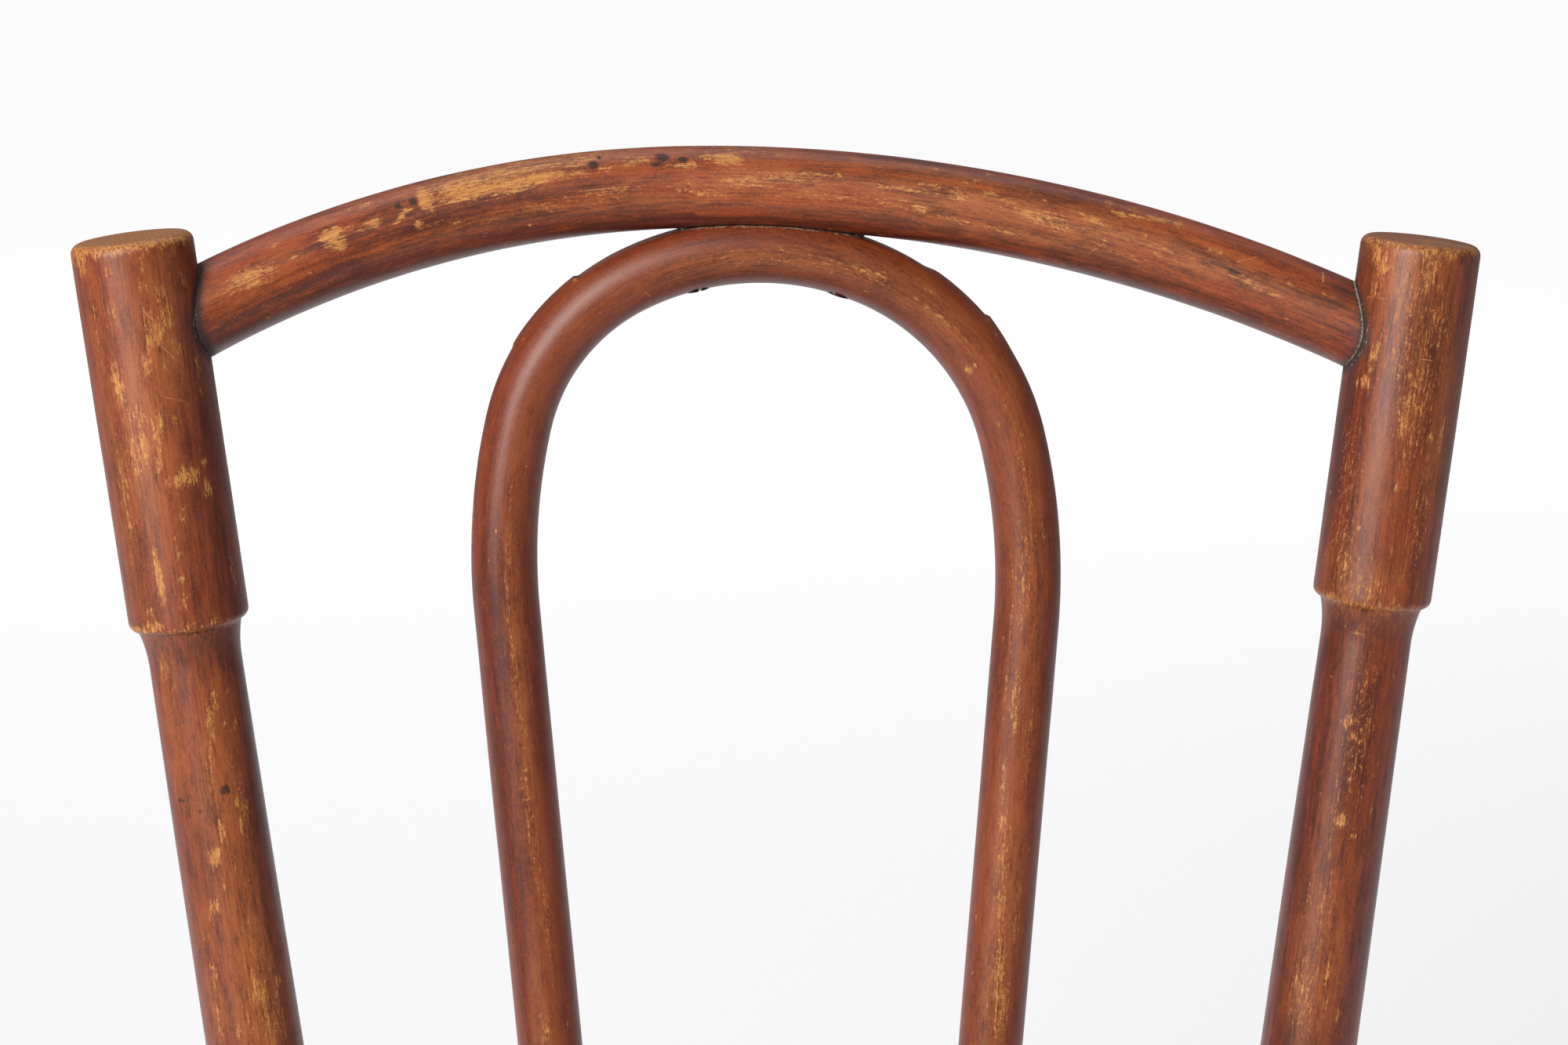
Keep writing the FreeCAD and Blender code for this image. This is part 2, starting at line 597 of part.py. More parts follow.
def build():
    """Make every piece, cut the joints between neighbours and return the pieces by name."""
    pieces = {}
    sides = ((-1, "left"), (1, "right"))
    blank = ring_blank()
    ring = plain_ring(blank)
    post = plain_post(head_length_right).cut(blank)
    leg = plain_leg()
    posts = {1: post, -1: mirrored(plain_post(head_length_left).cut(blank))}
    legs = {1: leg, -1: mirrored(leg)}
    crest = crest_tube()
    hoop = hoop_tube().cut(crest)
    crest_ends = {-1: crest_end_left, 1: crest_end_right}
    below_seat = Part.makeBox(ring_diameter, ring_diameter, ring_thickness,
                              FreeCAD.Vector(-ring_radius, -ring_radius, ring_bottom))
    hoop = hoop.cut(below_seat)

    # Crest tenons in the heads, each locked by a brad driven from behind
    for side, name in sides:
        end = crest_ends[side]
        way = crest_end_way(end, side)
        head_bottom = post_axis_point(side, 0.0)
        head_top = post_axis_point(side, head_length_left + head_length_right)
        crest = crest.cut(rod(head_radius, head_bottom, head_top)).fuse(crest_tenon(end, side, 0.0))
        posts[side] = posts[side].cut(crest_tenon(end, side, glue_gap))
        brad_depth = math.sqrt(head_radius ** 2 - brad_inset ** 2) - brad_head_height
        brad_seat = end - way * brad_inset
        brad_seat = brad_seat - back_out * (brad_depth + (brad_seat - end).dot(back_out))
        hole = placed(brad(pilot_gap), brad_seat, back_out * -1.0)
        mouth = placed(spot_face(brad_head_diameter + 2.0 * pilot_gap, 0.0), brad_seat, back_out * -1.0)
        crest = crest.cut(hole)
        posts[side] = posts[side].cut([hole, mouth])
        pieces["crest_brad_" + name] = placed(brad(0.0), brad_seat, back_out * -1.0)

    # Screws up through the hoop's crown into the crest
    screw_reaches = {-1: hoop_screw_reach_left, 1: hoop_screw_reach_right}
    for side, name in sides:
        turn = screw_reaches[side] / hoop_top_radius
        head_way = (across * (-side * math.sin(turn)) + hoop_down * math.cos(turn)).normalize()
        seat = hoop_point(0.0, hoop_top_radius) - head_way * (hoop_top_radius - hoop_radius)
        sink = (hoop_screw_head - hoop_screw_shank) / 2.0
        sizes = (hoop_screw_head, hoop_screw_shank, hoop_screw_length, hoop_screw_dome, sink)
        hole = placed(wood_screw(*sizes, pilot_gap, False), seat, head_way)
        hoop = hoop.cut(hole)
        crest = crest.cut(hole)
        pieces["hoop_top_screw_" + name] = placed(wood_screw(*sizes, 0.0, True), seat, head_way)

    # Hoop feet and front legs tenoned into the ring and locked from its inside
    lock_sink = (lock_screw_head - lock_screw_shank) / 2.0
    lock_sizes = (lock_screw_head, lock_screw_shank, lock_screw_length, screw_dome, lock_sink)
    lock_hole = wood_screw(*lock_sizes, pilot_gap, False)
    lock_screw = wood_screw(*lock_sizes, 0.0, True)
    for side, name in sides:
        hoop = hoop.fuse(hoop_tenon(side, 0.0))
        leg_bore = leg_tenon(glue_gap)
        if side < 0:
            leg_bore = mirrored(leg_bore)
        ring = ring.cut([hoop_tenon(side, glue_gap), leg_bore])
        foot, foot_way = hoop_feet[side]
        hoop_aim = axis_at_height(foot, foot_way, ring_middle)
        leg_aim = axis_at_height(leg_top, leg_up_way, ring_middle)
        leg_aim.x = leg_aim.x * side
        for aim, screw_name in ((hoop_aim, "hoop_foot_screw_"), (leg_aim, "front_leg_screw_")):
            out_way = FreeCAD.Vector(aim.x, aim.y, 0.0).normalize()
            seat = out_way * ring_inner_radius + up * ring_middle
            hole = placed(lock_hole, seat, out_way * -1.0)
            ring = ring.cut(hole)
            if screw_name == "hoop_foot_screw_":
                hoop = hoop.cut(hole)
            else:
                legs[side] = legs[side].cut(hole)
            pieces[screw_name + name] = placed(lock_screw, seat, out_way * -1.0)

    # Carriage bolts through the posts and the ring
    grip = post_seat_radius - bolt_seat_depth + post_joint_radius - ring_inner_radius - washer_seat_depth
    bolt_length = grip + washer_thickness + nut_thickness + bolt_end_length
    for side, name in sides:
        joint = FreeCAD.Vector(side * post_joint.x, post_joint.y, post_joint.z)
        way_in = FreeCAD.Vector(side * post_way_in.x, post_way_in.y, 0.0)
        way_out = way_in * -1.0
        head_seat = joint + way_out * (post_seat_radius - bolt_seat_depth)
        washer_seat = head_seat + way_in * grip
        nut_seat = washer_seat + way_in * washer_thickness
        hole = placed(carriage_bolt(bolt_length, bolt_gap), head_seat, way_out)
        posts[side] = posts[side].cut([hole, placed(spot_face(bolt_head_diameter + 2.0 * bolt_gap, 0.0),
                                                    head_seat, way_out)])
        ring = ring.cut([hole, placed(spot_face(washer_diameter + 2.0 * bolt_gap, 0.0), washer_seat, way_in)])
        pieces["seat_bolt_" + name] = placed(carriage_bolt(bolt_length, 0.0), head_seat, way_out)
        thread_hole = Part.makeCylinder(bolt_diameter / 2.0 + pilot_gap, washer_diameter)
        washer = Part.makeCylinder(washer_diameter / 2.0, washer_thickness).cut(thread_hole)
        nut = Part.makeBox(nut_width, nut_width, nut_thickness,
                           FreeCAD.Vector(-nut_width / 2.0, -nut_width / 2.0, 0.0)).cut(thread_hole)
        pieces["seat_bolt_washer_" + name] = placed(washer, washer_seat, way_in)
        pieces["seat_bolt_nut_" + name] = placed(nut, nut_seat, way_in)

    # Ring stretcher bedded on the four legs, with a screw into each
    front_radius = section_radius(leg, front_touch, leg_ring_height)
    rear_radius = section_radius(post, rear_touch, leg_ring_height)
    centre, ring_path_radius = leg_ring_layout(front_radius, rear_radius)
    leg_ring = Part.makeTorus(ring_path_radius, rod_radius, centre)
    leg_ring = leg_ring.cut([posts[-1], posts[1], legs[-1], legs[1]])
    seat_depth = rod_radius - math.sqrt(rod_radius ** 2 - (leg_ring_screw_head / 2.0) ** 2)
    ring_screw_length = leg_ring_rod_diameter - leg_ring_bed_depth - seat_depth + leg_ring_screw_bite
    screw_sizes = (leg_ring_screw_head, leg_ring_screw_shank, ring_screw_length, round_screw_dome, 0.0)
    for touch, row, members in ((front_touch, "front", legs), (rear_touch, "rear", posts)):
        for side, name in sides:
            out_way = (FreeCAD.Vector(side * touch.x, touch.y, leg_ring_height) - centre).normalize()
            seat = centre + out_way * (ring_path_radius - rod_radius + seat_depth)
            hole = placed(wood_screw(*screw_sizes, pilot_gap, False), seat, out_way * -1.0)
            mouth = placed(spot_face(leg_ring_screw_head + 2.0 * pilot_gap, 0.0), seat, out_way * -1.0)
            leg_ring = leg_ring.cut([hole, mouth])
            members[side] = members[side].cut(hole)
            pieces["leg_ring_screw_" + row + "_" + name] = placed(
                wood_screw(*screw_sizes, 0.0, True), seat, out_way * -1.0)

    for side, name in sides:
        pieces["back_post_" + name] = posts[side]
        pieces["front_leg_" + name] = legs[side]
    pieces["crest_rail"] = crest
    pieces["back_hoop"] = hoop
    pieces["seat_ring"] = ring
    pieces["cane_panel"] = cane_panel()
    pieces["cane_spline"] = cane_spline()
    pieces["leg_ring"] = leg_ring
    return pieces


def centred(pieces):
    """Move the chair so that its origin lies under the middle of its whole box."""
    box = Part.makeCompound(list(pieces.values())).optimalBoundingBox(False)
    shift = FreeCAD.Vector(-box.Center.x, -box.Center.y, 0.0)
    print("box", box.XLength, box.YLength, box.ZLength)
    return {name: piece.translated(shift) for name, piece in pieces.items()}, shift


os.makedirs("parts", exist_ok=True)
chair, chair_shift = centred(build())
for piece_name, piece_shape in sorted(chair.items()):
    solids = piece_shape.Solids
    finished = solids[0] if len(solids) == 1 else Part.makeCompound(solids)
    finished.exportStep("parts/" + piece_name + ".step")
    print(piece_name, "solids", len(solids), "valid", finished.isValid(), "volume", round(finished.Volume, 1))
print("back frame origin", back_origin + chair_shift)
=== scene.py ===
import bpy
import bmesh
from math import acos, asin, atan2, ceil, cos, hypot, pi, radians, sin, sqrt, tan
import numpy as np
import random
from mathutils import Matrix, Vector, noise


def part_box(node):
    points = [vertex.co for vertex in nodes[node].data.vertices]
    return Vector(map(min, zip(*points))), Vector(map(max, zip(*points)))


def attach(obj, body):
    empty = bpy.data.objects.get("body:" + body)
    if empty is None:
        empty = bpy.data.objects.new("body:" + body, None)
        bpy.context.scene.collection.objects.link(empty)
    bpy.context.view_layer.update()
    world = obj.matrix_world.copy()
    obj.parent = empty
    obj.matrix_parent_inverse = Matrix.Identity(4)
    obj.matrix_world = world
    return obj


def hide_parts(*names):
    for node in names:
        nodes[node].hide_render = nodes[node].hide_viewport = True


# Bentwood bistro chair. The bent pieces are turned straight in millimetres, bent, then scaled to metres.
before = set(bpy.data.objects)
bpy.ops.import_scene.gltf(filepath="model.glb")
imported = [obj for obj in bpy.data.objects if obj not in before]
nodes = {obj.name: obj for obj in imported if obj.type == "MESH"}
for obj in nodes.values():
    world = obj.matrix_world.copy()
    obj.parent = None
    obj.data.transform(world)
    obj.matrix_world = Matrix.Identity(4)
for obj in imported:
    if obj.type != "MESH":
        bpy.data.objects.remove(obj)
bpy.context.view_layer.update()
mm = 0.001
print("frame loaded:", len(nodes), "nodes")


def inMillimetres(point):
    return Vector(point) / mm


ringLow, ringHigh = (inMillimetres(corner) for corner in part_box("seat_ring"))
seatCentre = Vector(((ringLow.x + ringHigh.x) / 2, (ringLow.y + ringHigh.y) / 2, ringHigh.z))
acrossWay = Vector((1, 0, 0))
# how far a shaped skin stays off the piece that it meets
skinGap = 0.05


# A way is a line that a rod follows: straight runs and arcs in one plane, walked from its start.

def makeWay(start, ahead, side, runs):
    legs = []
    place, heading, inward, gone = Vector(start), Vector(ahead).normalized(), Vector(side).normalized(), 0.0
    for length, radius in runs:
        legs.append((gone, length, radius, place.copy(), heading.copy(), inward.copy()))
        place, heading, inward = walk(place, heading, inward, length, radius)
        gone += length
    return legs


def walk(place, heading, inward, length, radius):
    if radius is None:
        return place + heading * length, heading.copy(), inward.copy()
    turn = length / radius
    centre = place + inward * radius
    return (centre - (inward * cos(turn) - heading * sin(turn)) * radius,
            heading * cos(turn) + inward * sin(turn), inward * cos(turn) - heading * sin(turn))


def onWay(legs, along):
    leg = legs[0]
    for candidate in legs:
        if candidate[0] <= along:
            leg = candidate
    gone, length, radius, place, heading, inward = leg
    return walk(place, heading, inward, along - gone, radius)


def onTwoWays(leftLegs, rightLegs, along):
    # one rod that runs both ways from its middle: along is below 0 on the left
    if along >= 0:
        return onWay(rightLegs, along)
    place, heading, inward = onWay(leftLegs, -along)
    return place, -heading, inward


# Outlines of turned rods are lists of (along, radius)

def evenRun(outline, along, radius, spacing):
    fromAlong, fromRadius = outline[-1]
    steps = max(1, ceil(hypot(along - fromAlong, radius - fromRadius) / spacing))
    for step in range(1, steps + 1):
        share = step / steps
        outline.append((fromAlong + (along - fromAlong) * share, fromRadius + (radius - fromRadius) * share))


def turnRod(outline, sides):
    # spin the outline about Z into a straight closed rod that remembers its straight shape as grain
    shape = bmesh.new()
    last = None
    for along, radius in outline:
        corner = shape.verts.new((radius, 0, along))
        if last is not None:
            shape.edges.new((last, corner))
        last = corner
    bmesh.ops.spin(shape, geom=shape.verts[:] + shape.edges[:], cent=(0, 0, 0), axis=(0, 0, 1),
                   dvec=(0, 0, 0), angle=2 * pi, steps=sides, use_merge=True, use_duplicate=False)
    bmesh.ops.remove_doubles(shape, verts=shape.verts[:], dist=0.0005)
    bmesh.ops.recalc_face_normals(shape, faces=shape.faces[:])
    grain = shape.verts.layers.float_vector.new("grain")
    for corner in shape.verts:
        corner[grain] = corner.co
    return shape


# hand-finished wood is never quite round or even
unevenness = {
    "swellWidth": 14,
    "rippleWidth": 5,
    "rippleLength": 16,
    "rippleShare": 0.3,
}


def roughen(shape, seed, waviness, waveLength):
    size = unevenness
    offset = Vector((seed * 7.3, seed * 3.1, seed * 11.7))
    for corner in shape.verts:
        x, y, z = corner.co
        radius = hypot(x, y)
        if radius < 1:
            continue
        place = Vector((x / size["swellWidth"], y / size["swellWidth"], z / waveLength))
        swell = noise.noise(place + offset) * waviness
        place = Vector((x / size["rippleWidth"], y / size["rippleWidth"], z / size["rippleLength"]))
        swell += noise.noise(place + offset) * waviness * size["rippleShare"]
        corner.co.x += swell * x / radius
        corner.co.y += swell * y / radius


def bendRod(shape, placeAt):
    for corner in shape.verts:
        x, y, along = corner.co
        place, heading, inward = placeAt(along)
        corner.co = place + inward * x + heading.cross(inward) * y


def addObject(name, data):
    made = bpy.data.objects.new(name, data)
    bpy.context.scene.collection.objects.link(made)
    return made


def finishPiece(shape, name, replaced, material):
    # to metres, then a smooth shaded object that stands for the CAD node
    bmesh.ops.scale(shape, vec=(mm, mm, mm), verts=shape.verts[:])
    mesh = bpy.data.meshes.new(name)
    shape.to_mesh(mesh)
    shape.free()
    mesh.polygons.foreach_set("use_smooth", [True] * len(mesh.polygons))
    piece = addObject(name, mesh)
    mesh.materials.append(material)
    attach(piece, "root")
    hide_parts(replaced)
    return mesh


# Marks are spots on a rod's skin: (along, turn in degrees, half length, half width, strength).
# The shader breaks their edges up with grain.
firmEdge, softEdge = 1.5, 1


def skinOf(mesh):
    values = np.zeros(len(mesh.vertices) * 3, np.float32)
    mesh.attributes["grain"].data.foreach_get("vector", values)
    x, y, along = values.reshape(-1, 3).T.astype(float)
    return along, np.degrees(np.arctan2(y, x)), np.hypot(x, y)


def spread(mesh, marks, edge=firmEdge):
    along, turn, radius = skinOf(mesh)
    total = np.zeros(len(along))
    for markAlong, markTurn, halfLength, halfWidth, strength in marks:
        around = np.radians((turn - markTurn + 180) % 360 - 180) * radius
        reach = ((along - markAlong) / halfLength) ** 2 + (around / halfWidth) ** 2
        total = np.maximum(total, strength * np.exp(-reach ** edge))
    return total


def scattered(seed, count, alongRange, turnRange):
    # the same kind of marks where the photograph doesn't reach
    dice = random.Random(seed)
    marks = []
    for _ in range(count):
        halfLength = dice.uniform(1.5, 12)
        marks.append((dice.uniform(*alongRange), dice.uniform(*turnRange), halfLength,
                      dice.uniform(0.7, 1.2 + 0.14 * halfLength), dice.uniform(0.45, 1.0)))
    return marks


def knocked(seed, count, alongRange, turnRange):
    # many pinhead flecks
    dice = random.Random(seed)
    return [(dice.uniform(*alongRange), dice.uniform(*turnRange), dice.uniform(0.4, 1.3),
             dice.uniform(0.3, 0.7), dice.uniform(0.6, 1.15)) for _ in range(count)]


def rimAt(mesh, rimAlong, reach, strength, rimRadius=None):
    # worn all round at one place along a rod, or on an edge there
    along, _, radius = skinOf(mesh)
    distance = along - rimAlong if rimRadius is None else np.hypot(along - rimAlong, radius - rimRadius)
    return strength * np.exp(-(distance / reach) ** 2)


def gapTo(mesh, points, radius):
    # distance in millimetres from each corner to the skin of a neighbour, a rod through points
    values = np.zeros(len(mesh.vertices) * 3, np.float32)
    mesh.vertices.foreach_get("co", values)
    corners = values.reshape(-1, 3).astype(float) / mm
    nearest = np.full(len(corners), 1e9)
    for point in points:
        nearest = np.minimum(nearest, np.linalg.norm(corners - np.array(point), axis=1))
    return np.maximum(nearest - radius, 0)


def keepSkin(mesh, marks, wear, grimeAndShade, dust):
    # what the wood's shader reads from each corner
    kept = {"wear": wear, "rubbedAndHighlight": spread(mesh, marks["rubbedAndHighlight"], softEdge),
            "paintedShade": spread(mesh, marks["paintedShade"], softEdge), "stain": spread(mesh, marks["stain"]),
            "grimeAndShade": grimeAndShade, "dust": dust}
    for name, values in kept.items():
        layer = mesh.attributes.new(name, "FLOAT", "POINT")
        layer.data.foreach_set("value", np.asarray(values, np.float32))


def linesAlong(placeAt, start, end, spacing):
    steps = ceil((end - start) / spacing)
    return [placeAt(start + (end - start) * step / steps)[0] for step in range(steps + 1)]


# Shader helpers

def shade(*screenColour):
    # screen colour, 0 to 255, to Blender's linear colour
    linear = (((c / 255 + 0.055) / 1.055) ** 2.4 if c > 10 else c / 255 / 12.92 for c in screenColour)
    return tuple(linear) + (1.0,)


class Shader:
    def __init__(self, name):
        self.material = bpy.data.materials.new(name)
        self.material.use_nodes = True
        self.tree = self.material.node_tree
        self.tree.nodes.clear()

    def add(self, kind, inputs=None, **settings):
        made = self.tree.nodes.new("ShaderNode" + kind)
        for key, value in settings.items():
            setattr(made, key, value)
        for key, value in (inputs or {}).items():
            if isinstance(value, bpy.types.NodeSocket):
                self.tree.links.new(value, made.inputs[key])
            else:
                made.inputs[key].default_value = value
        return made

    def sum(self, operation, first, second=0.0, third=0.0, clamp=False):
        made = self.add("Math", {0: first, 1: second, 2: third}, operation=operation, use_clamp=clamp)
        return made.outputs[0]

    def times(self, value, factor, plus=None, clamp=False):
        if plus is None:
            return self.sum("MULTIPLY", value, factor, clamp=clamp)
        return self.sum("MULTIPLY_ADD", value, factor, plus, clamp)

    def vector(self, operation, *inputs, result="Vector"):
        return self.add("VectorMath", dict(enumerate(inputs)), operation=operation).outputs[result]

    def kept(self, name):
        return self.add("Attribute", attribute_name=name).outputs["Fac"]

    def objectPlace(self):
        return self.add("TexCoord").outputs["Object"]

    def cloud(self, vector, scale, detail, roughness):
        inputs = {"Vector": vector, "Scale": scale, "Detail": detail, "Roughness": roughness}
        return self.add("TexNoise", inputs).outputs["Fac"]

    def bump(self, height, strength, distance):
        made = self.add("Bump", {"Height": height, "Strength": strength, "Distance": distance})
        return made.outputs["Normal"]

    def blend(self, share, first, second):
        made = self.add("Mix", {0: share}, data_type="RGBA", clamp_factor=True)
        for index, value in ((6, first), (7, second)):
            if isinstance(value, bpy.types.NodeSocket):
                self.tree.links.new(value, made.inputs[index])
            else:
                made.inputs[index].default_value = value
        return made.outputs[2]

    def cover(self, colour, share, over, strength):
        return self.blend(self.times(share, strength), colour, over)

    def ramp(self, share, stops):
        made = self.add("ValToRGB", {"Fac": share})
        band = made.color_ramp
        while len(band.elements) < len(stops):
            band.elements.new(0.5)
        for element, (place, colour) in zip(band.elements, stops):
            element.position = place
            element.color = colour
        return made.outputs["Color"]

    def step(self, value, low, high):
        # 0 below low, 1 above high, smooth between
        made = self.add("MapRange", {"Value": value, "From Min": low, "From Max": high},
                        interpolation_type="SMOOTHSTEP", clamp=True)
        return made.outputs["Result"]

    def surface(self, inputs, normal):
        skin = self.add("BsdfPrincipled", {**inputs, "Normal": normal})
        self.add("OutputMaterial", {"Surface": skin.outputs["BSDF"]})
        return self.material


def skinCoords(shader):
    # straight-rod coordinates in millimetres, kept on the skin when the rod was turned
    return shader.add("Attribute", attribute_name="grain").outputs["Vector"], None


def axisCoords(shader, place, turn):
    # Object coordinates set to millimetres about a straight piece's own axis
    moved = shader.add("Mapping", {"Vector": shader.objectPlace(), "Location": place, "Rotation": turn,
                                   "Scale": (mm, mm, mm)}, vector_type="TEXTURE")
    return moved.outputs["Vector"], None


def ringCoords(shader, centre, radius):
    # round a ring: across, up and along, where along is a point on a circle so that the grain has no seam
    parts = shader.add("SeparateXYZ", {0: axisCoords(shader, centre, (0, 0, 0))[0]}).outputs
    flat = shader.add("CombineXYZ", {0: parts[0], 1: parts[1], 2: 0.0}).outputs[0]
    wayParts = shader.add("SeparateXYZ", {0: shader.vector("NORMALIZE", flat)}).outputs
    outward = shader.sum("SUBTRACT", shader.vector("LENGTH", flat, result="Value"), radius)
    cosine, sine = (shader.times(part, radius) for part in wayParts[:2])
    return shader.add("CombineXYZ", {0: outward, 1: parts[2], 2: cosine}).outputs[0], sine


def grainNoise(shader, coords, across, along, detail, roughness, shift):
    vector, around = coords
    scaled = shader.vector("MULTIPLY_ADD", vector, (across, across, along), (shift, shift, shift))
    if around is None:
        return shader.cloud(scaled, 1.0, detail, roughness)
    inputs = {"Vector": scaled, "Scale": 1.0, "Detail": detail, "Roughness": roughness,
              "W": shader.times(around, along)}
    return shader.add("TexNoise", inputs, noise_dimensions="4D").outputs["Fac"]


# The kinds of grain: across and along per millimetre, detail, roughness, shift
grains = {
    "broad": (0.06, 0.012, 2, 0.5, 0),
    "streak": (0.45, 0.024, 4, 0.6, 3),
    "fine": (1.5, 0.075, 4, 0.68, 7),
    "chips": (1.3, 0.50, 5, 0.80, 17),
    "flecks": (3.4, 1.3, 2, 0.6, 23),
    "mottle": (0.30, 0.09, 4, 0.62, 29),
}

woodLook = {
    "deep": shade(84, 32, 18),
    "dark": shade(112, 45, 22),
    "middle": shade(148, 60, 24),
    "warm": shade(176, 81, 31),
    "thin": shade(186, 108, 54),
    "wornDark": shade(178, 104, 44),
    "wornMiddle": shade(204, 134, 60),
    "wornLight": shade(224, 160, 82),
    "grimeAndShade": shade(42, 34, 28),
    "dust": shade(176, 162, 138),
    "stain": shade(34, 17, 14),
    "line": shade(212, 150, 100),
    # how much each kind of grain shows in the stain
    "cloud": 0.55,
    "mottle": 0.50,
    "streak": 0.55,
    "fine": 0.50,
    "chip": 0.45,
    "fleck": 0.50,
    "shift": 0.0,
    "wornAll": 0.0,
    "rubbedAll": 0.0,
    "patches": 0.0,
    "rims": (),
    "edges": (),
    "lines": (),
}


def lineMask(shader, vector, line):
    # a fine line between two places on a rod's skin, each (along, turn), of a half width in millimetres
    startAlong, startTurn, endAlong, endTurn, radius, halfWidth = line
    first, last = (Vector((radius * cos(radians(turn)), radius * sin(radians(turn)), along))
                   for along, turn in ((startAlong, startTurn), (endAlong, endTurn)))
    run = last - first
    gap = shader.vector("SUBTRACT", vector, first)
    share = shader.vector("DOT_PRODUCT", gap, run / run.length_squared, result="Value")
    share = shader.sum("ADD", share, 0.0, clamp=True)
    along = shader.add("VectorMath", {0: tuple(run), "Scale": share}, operation="SCALE").outputs["Vector"]
    distance = shader.vector("DISTANCE", gap, along, result="Value")
    return shader.step(distance, halfWidth, halfWidth * 0.4)


def tints(look, *stops):
    return [(place, look[name]) for place, name in stops]


def stainedWood(name, look, makeCoords):
    shader = Shader(name)
    coords = makeCoords(shader)
    broad, streak, fine, chips, flecks, mottle = (
        grainNoise(shader, coords, across, along, detail, roughness, look["shift"] + shift)
        for across, along, detail, roughness, shift in grains.values())

    # stain over beech, darker where shade is painted; every noise is 0.5 on average, and so is the tone
    kinds = ((broad, "cloud"), (mottle, "mottle"), (streak, "streak"), (fine, "fine"), (chips, "chip"),
             (flecks, "fleck"))
    tone = 0.5 - sum(look[share] for _, share in kinds) / 2
    for kind, share in kinds:
        tone = shader.times(kind, look[share], tone)
    # painted shade: the tone darkens on undersides, under the heads' lips and down the shaded sides
    tone = shader.times(shader.kept("paintedShade"), -0.22, tone)
    colour = shader.ramp(tone, tints(look, (0.28, "deep"), (0.41, "dark"), (0.52, "middle"), (0.70, "warm")))
    colour = shader.cover(colour, shader.step(flecks, 0.36, 0.24), look["deep"], 0.5)

    # finish rubbed thin along the grain, with painted highlight where the rubbed marks follow each rod's lit
    # side
    rubbedAndHighlight = shader.sum("ADD", shader.kept("rubbedAndHighlight"), look["rubbedAll"])
    threads = shader.times(fine, 2.4, shader.times(chips, 2.0, -1.85))
    threads = shader.times(flecks, 0.8, threads)
    threads = shader.times(mottle, 2.4, shader.sum("ADD", threads, -1.20))
    threads = shader.times(shader.sum("ADD", threads, -0.10, clamp=True), 0.75, 0.12)
    colour = shader.blend(shader.times(rubbedAndHighlight, threads, clamp=True), colour, look["thin"])

    # and worn through to the pale wood
    worn = shader.sum("ADD", shader.kept("wear"), look["wornAll"])
    if look["patches"]:
        worn = shader.times(shader.step(broad, 0.50, 0.66), look["patches"], worn)
    parts = shader.add("SeparateXYZ", {0: coords[0]}).outputs
    for place, reach, strength in look["rims"]:
        near = shader.sum("ABSOLUTE", shader.sum("SUBTRACT", parts[2], place))
        worn = shader.sum("MAXIMUM", worn, shader.times(shader.step(near, reach, 0.0), strength))
    section = shader.add("CombineXYZ", {0: parts[0], 1: parts[1], 2: 0.0}).outputs[0]
    for outward, up, reach, strength in look["edges"]:
        near = shader.vector("DISTANCE", section, (outward, up, 0.0), result="Value")
        uneven = shader.times(shader.step(near, reach, 0.0), shader.times(broad, 1.4, -0.1))
        worn = shader.sum("MAXIMUM", worn, shader.times(uneven, strength))
    broken = shader.times(chips, 3.4, shader.times(fine, 1.5, -2.95))
    broken = shader.times(flecks, 1.0, broken)
    haloShare = shader.step(shader.times(broken, 0.7, worn), 0.30, 1.0)
    colour = shader.cover(colour, haloShare, look["thin"], 0.60)
    wornShare = shader.times(shader.step(shader.sum("ADD", worn, broken), 0.62, 1.10), 0.90)
    paleTone = shader.times(fine, 1.6, shader.times(chips, 1.4, -1.0))
    pale = shader.ramp(paleTone, tints(look, (0.25, "wornDark"), (0.48, "wornMiddle"), (0.74, "wornLight")))
    colour = shader.blend(wornShare, colour, pale)
    for line in look["lines"]:
        mask = shader.times(lineMask(shader, coords[0], line), shader.step(fine, 0.30, 0.50))
        colour = shader.cover(colour, mask, look["line"], 0.60)

    # dark stains, then grime with painted shade, and dust, in the joints
    crumbs = shader.times(flecks, 1.6, shader.times(chips, 2.0, -1.8))
    shares = {}
    for kind, uneven, low, high, strength in (("stain", shader.times(chips, 2.2, -1.1), 0.40, 0.80, 0.88),
                                              ("grimeAndShade", shader.times(chips, 1.0, -0.5), 0.15, 0.70, 0.90),
                                              ("dust", crumbs, 0.50, 0.72, 0.90)):
        shares[kind] = shader.step(shader.sum("ADD", shader.kept(kind), uneven), low, high)
        colour = shader.cover(colour, shares[kind], look[kind], strength)

    rough = shader.times(broad, 0.16, 0.29)
    for share, more in ((fine, 0.10), (wornShare, 0.15), (shares["stain"], 0.30), (shares["grimeAndShade"], 0.35)):
        rough = shader.times(share, more, rough)
    rough = shader.times(shares["dust"], 0.40, rough, clamp=True)
    height = shader.times(fine, 0.35, shader.times(flecks, 0.15))
    for share, rise in ((streak, 0.55), (wornShare, -0.30), (shares["grimeAndShade"], chips)):
        height = shader.times(share, rise, height)
    return shader.surface({"Base Color": colour, "Roughness": rough, "Specular IOR Level": 0.64,
                           "Coat Weight": 0.13, "Coat Roughness": 0.32, "Coat IOR": 1.45},
                          shader.bump(height, 0.5, 0.00012))


